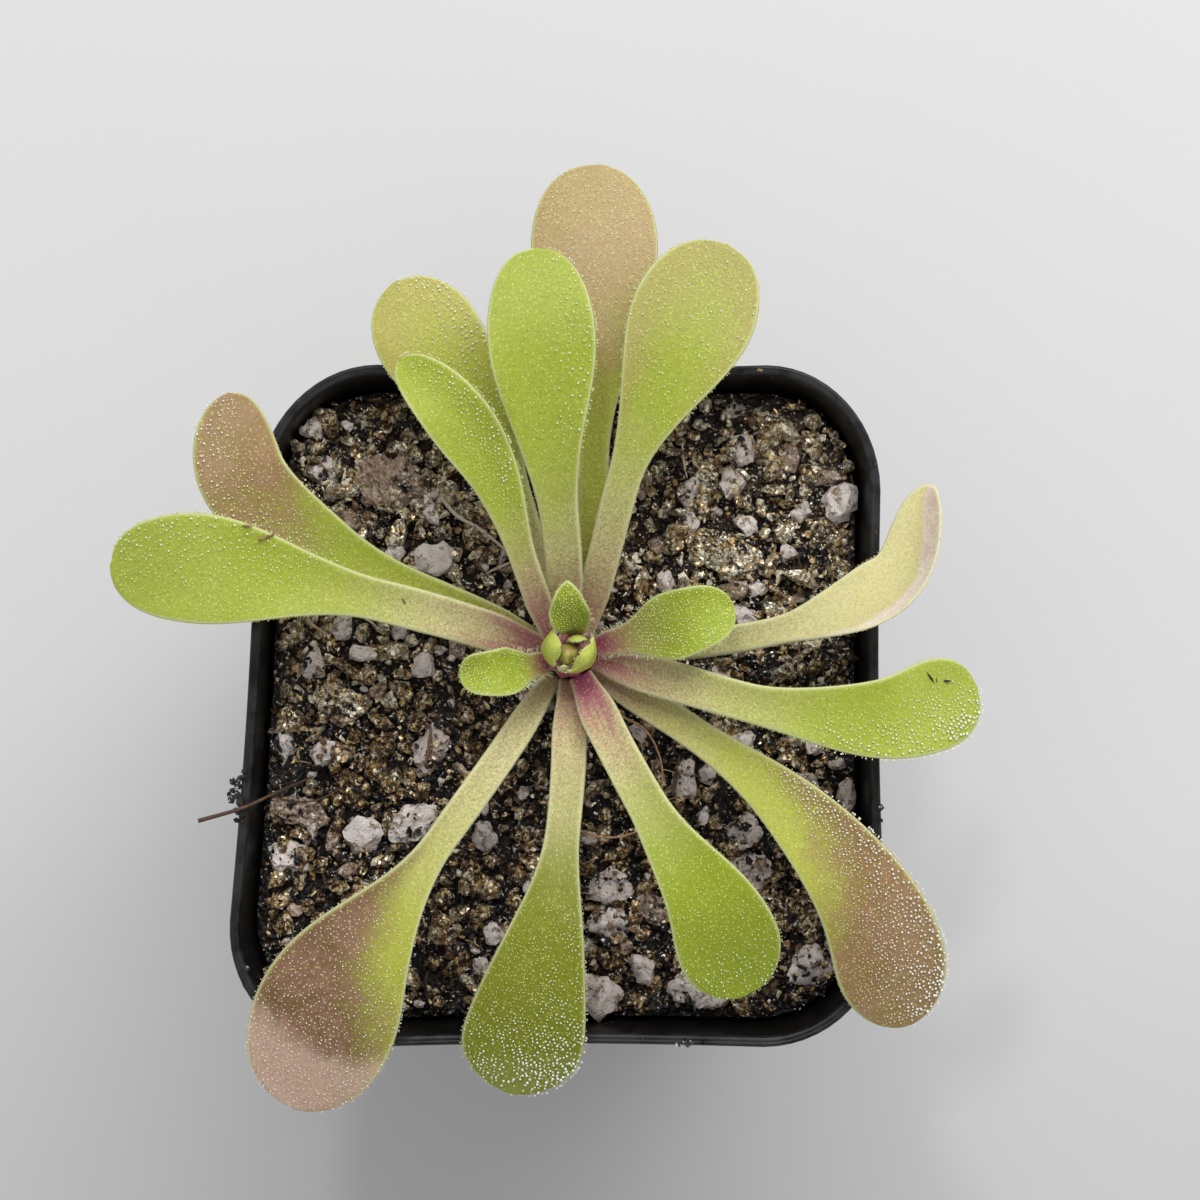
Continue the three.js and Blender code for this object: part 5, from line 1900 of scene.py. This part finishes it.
class ButterwortSoil(bpy.types.PropertyGroup):
    """How many loose grains of each kind the soil shows."""

    perlite_count: IntProperty(name="Perlite", description="Perlite grains", default=90, min=1)
    chip_count: IntProperty(name="Vermiculite", description="Vermiculite chips", default=950, min=1)
    bark_count: IntProperty(name="Bark", description="Bits of bark", default=100, min=1)
    crumb_count: IntProperty(name="Crumbs", description="Crumbs of compost and sand", default=9000, min=1)
    grit_count: IntProperty(name="Grit", description="Small bright grains", default=3600, min=1)
    fibre_count: IntProperty(name="Fibres", description="Rotted fibres in the mix", default=150, min=1)


class ButterwortDew(bpy.types.PropertyGroup):
    """The sticky drops on the leaves."""

    drop_radius: FloatProperty(
        name="Drop radius", description="Radius of a full drop", default=0.175 * MM, min=0, unit="LENGTH",
    )
    stalk_height: FloatProperty(
        name="Gland height", description="Height of a gland's stalk", default=0.36 * MM, min=0, unit="LENGTH",
    )


class ButterwortStage(bpy.types.PropertyGroup):
    """The floor and the light."""

    floor_colour: colour_property("Floor", "The pale card under the pot", 219, 218, 217)
    room_colour: colour_property("Room", "Light from all around", 251, 252, 255)
    room_strength: FloatProperty(name="Room light", description="Strength of the light around", default=0.56)
    window_power: FloatProperty(name="Window light", description="Its power", default=4.3, unit="POWER")
    lamp_power: FloatProperty(name="Lamp", description="Power of the small lamp", default=1, unit="POWER")


class ButterwortSettings(bpy.types.PropertyGroup):
    """Everything a user may change."""

    colours: PointerProperty(type=ButterwortColours)
    soil: PointerProperty(type=ButterwortSoil)
    dew: PointerProperty(type=ButterwortDew)
    stage: PointerProperty(type=ButterwortStage)


class BUTTERWORT_OT_stage(bpy.types.Operator):
    """Set the floor, the light and the camera"""

    bl_idname = "butterwort.stage"
    bl_label = "Stage"

    def execute(self, context):
        build_stage(context.scene.butterwort.stage)
        return {"FINISHED"}


class BUTTERWORT_OT_pot(bpy.types.Operator):
    """Mould the square pot"""

    bl_idname = "butterwort.pot"
    bl_label = "Pot"

    def execute(self, context):
        build_pot(context.scene.butterwort.colours)
        return {"FINISHED"}


class BUTTERWORT_OT_soil(bpy.types.Operator):
    """Fill the pot with the growing mix and scatter its loose grains"""

    bl_idname = "butterwort.soil"
    bl_label = "Soil"

    def execute(self, context):
        settings = context.scene.butterwort
        build_soil_bed(settings.colours)
        finishes = build_lumps(settings.colours)
        crumb_material = build_grains(settings.colours, settings.soil, finishes)
        build_stray_crumbs(crumb_material)
        return {"FINISHED"}


class BUTTERWORT_OT_crown(bpy.types.Operator):
    """Grow the crown and the bud tip"""

    bl_idname = "butterwort.crown"
    bl_label = "Crown"

    def execute(self, context):
        build_crown(context.scene.butterwort.colours)
        return {"FINISHED"}


class BUTTERWORT_OT_leaves(bpy.types.Operator):
    """Grow the large leaves, the young leaves and the bud"""

    bl_idname = "butterwort.leaves"
    bl_label = "Leaves"

    def execute(self, context):
        for leaf in LARGE_LEAVES + YOUNG_LEAVES + BUD_LEAVES:
            build_leaf(leaf, context.scene.butterwort.colours)
        return {"FINISHED"}


class BUTTERWORT_OT_dew(bpy.types.Operator):
    """Set the sticky drops on every leaf"""

    bl_idname = "butterwort.dew"
    bl_label = "Dew"

    def execute(self, context):
        settings = context.scene.butterwort
        colours = settings.colours
        materials = {
            "green_leaf": dew_finish("green_dew", colours.green_dew, colours),
            "blushed_leaf": dew_finish("pink_dew", colours.pink_dew, colours),
        }
        shapes = dew_shapes()
        for number, leaf in enumerate(LARGE_LEAVES + YOUNG_LEAVES + BUD_LEAVES):
            build_dew(leaf, number, shapes, settings.dew, materials)
        return {"FINISHED"}


class BUTTERWORT_OT_threads(bpy.types.Operator):
    """Lay the surface roots, the fibres and the dry needle"""

    bl_idname = "butterwort.threads"
    bl_label = "Roots and needle"

    def execute(self, context):
        build_threads(context.scene.butterwort.colours)
        return {"FINISHED"}


OPERATORS = [
    BUTTERWORT_OT_stage, BUTTERWORT_OT_pot, BUTTERWORT_OT_soil, BUTTERWORT_OT_crown,
    BUTTERWORT_OT_leaves, BUTTERWORT_OT_dew, BUTTERWORT_OT_threads,
]


class BUTTERWORT_PT_panel(bpy.types.Panel):
    """Lists the steps that build the potted butterwort"""

    bl_idname = "BUTTERWORT_PT_panel"
    bl_label = "Potted Butterwort"
    bl_space_type = "VIEW_3D"
    bl_region_type = "UI"
    bl_category = "Butterwort"

    def draw(self, context):
        for operator in OPERATORS:
            self.layout.operator(operator.bl_idname)
        settings = context.scene.butterwort
        for group in (settings.soil, settings.dew, settings.stage, settings.colours):
            for name in group.__annotations__:
                self.layout.prop(group, name)


CLASSES = [
    ButterwortColours, ButterwortSoil, ButterwortDew, ButterwortStage, ButterwortSettings,
    *OPERATORS, BUTTERWORT_PT_panel,
]


def register():
    for item in CLASSES:
        bpy.utils.register_class(item)
    bpy.types.Scene.butterwort = PointerProperty(type=ButterwortSettings)


def unregister():
    del bpy.types.Scene.butterwort
    for item in reversed(CLASSES):
        bpy.utils.unregister_class(item)


def main():
    register()
    bpy.ops.butterwort.stage()
    bpy.ops.butterwort.pot()
    bpy.ops.butterwort.soil()
    bpy.ops.butterwort.crown()
    bpy.ops.butterwort.leaves()
    bpy.ops.butterwort.dew()
    bpy.ops.butterwort.threads()


if __name__ == "__main__":
    main()
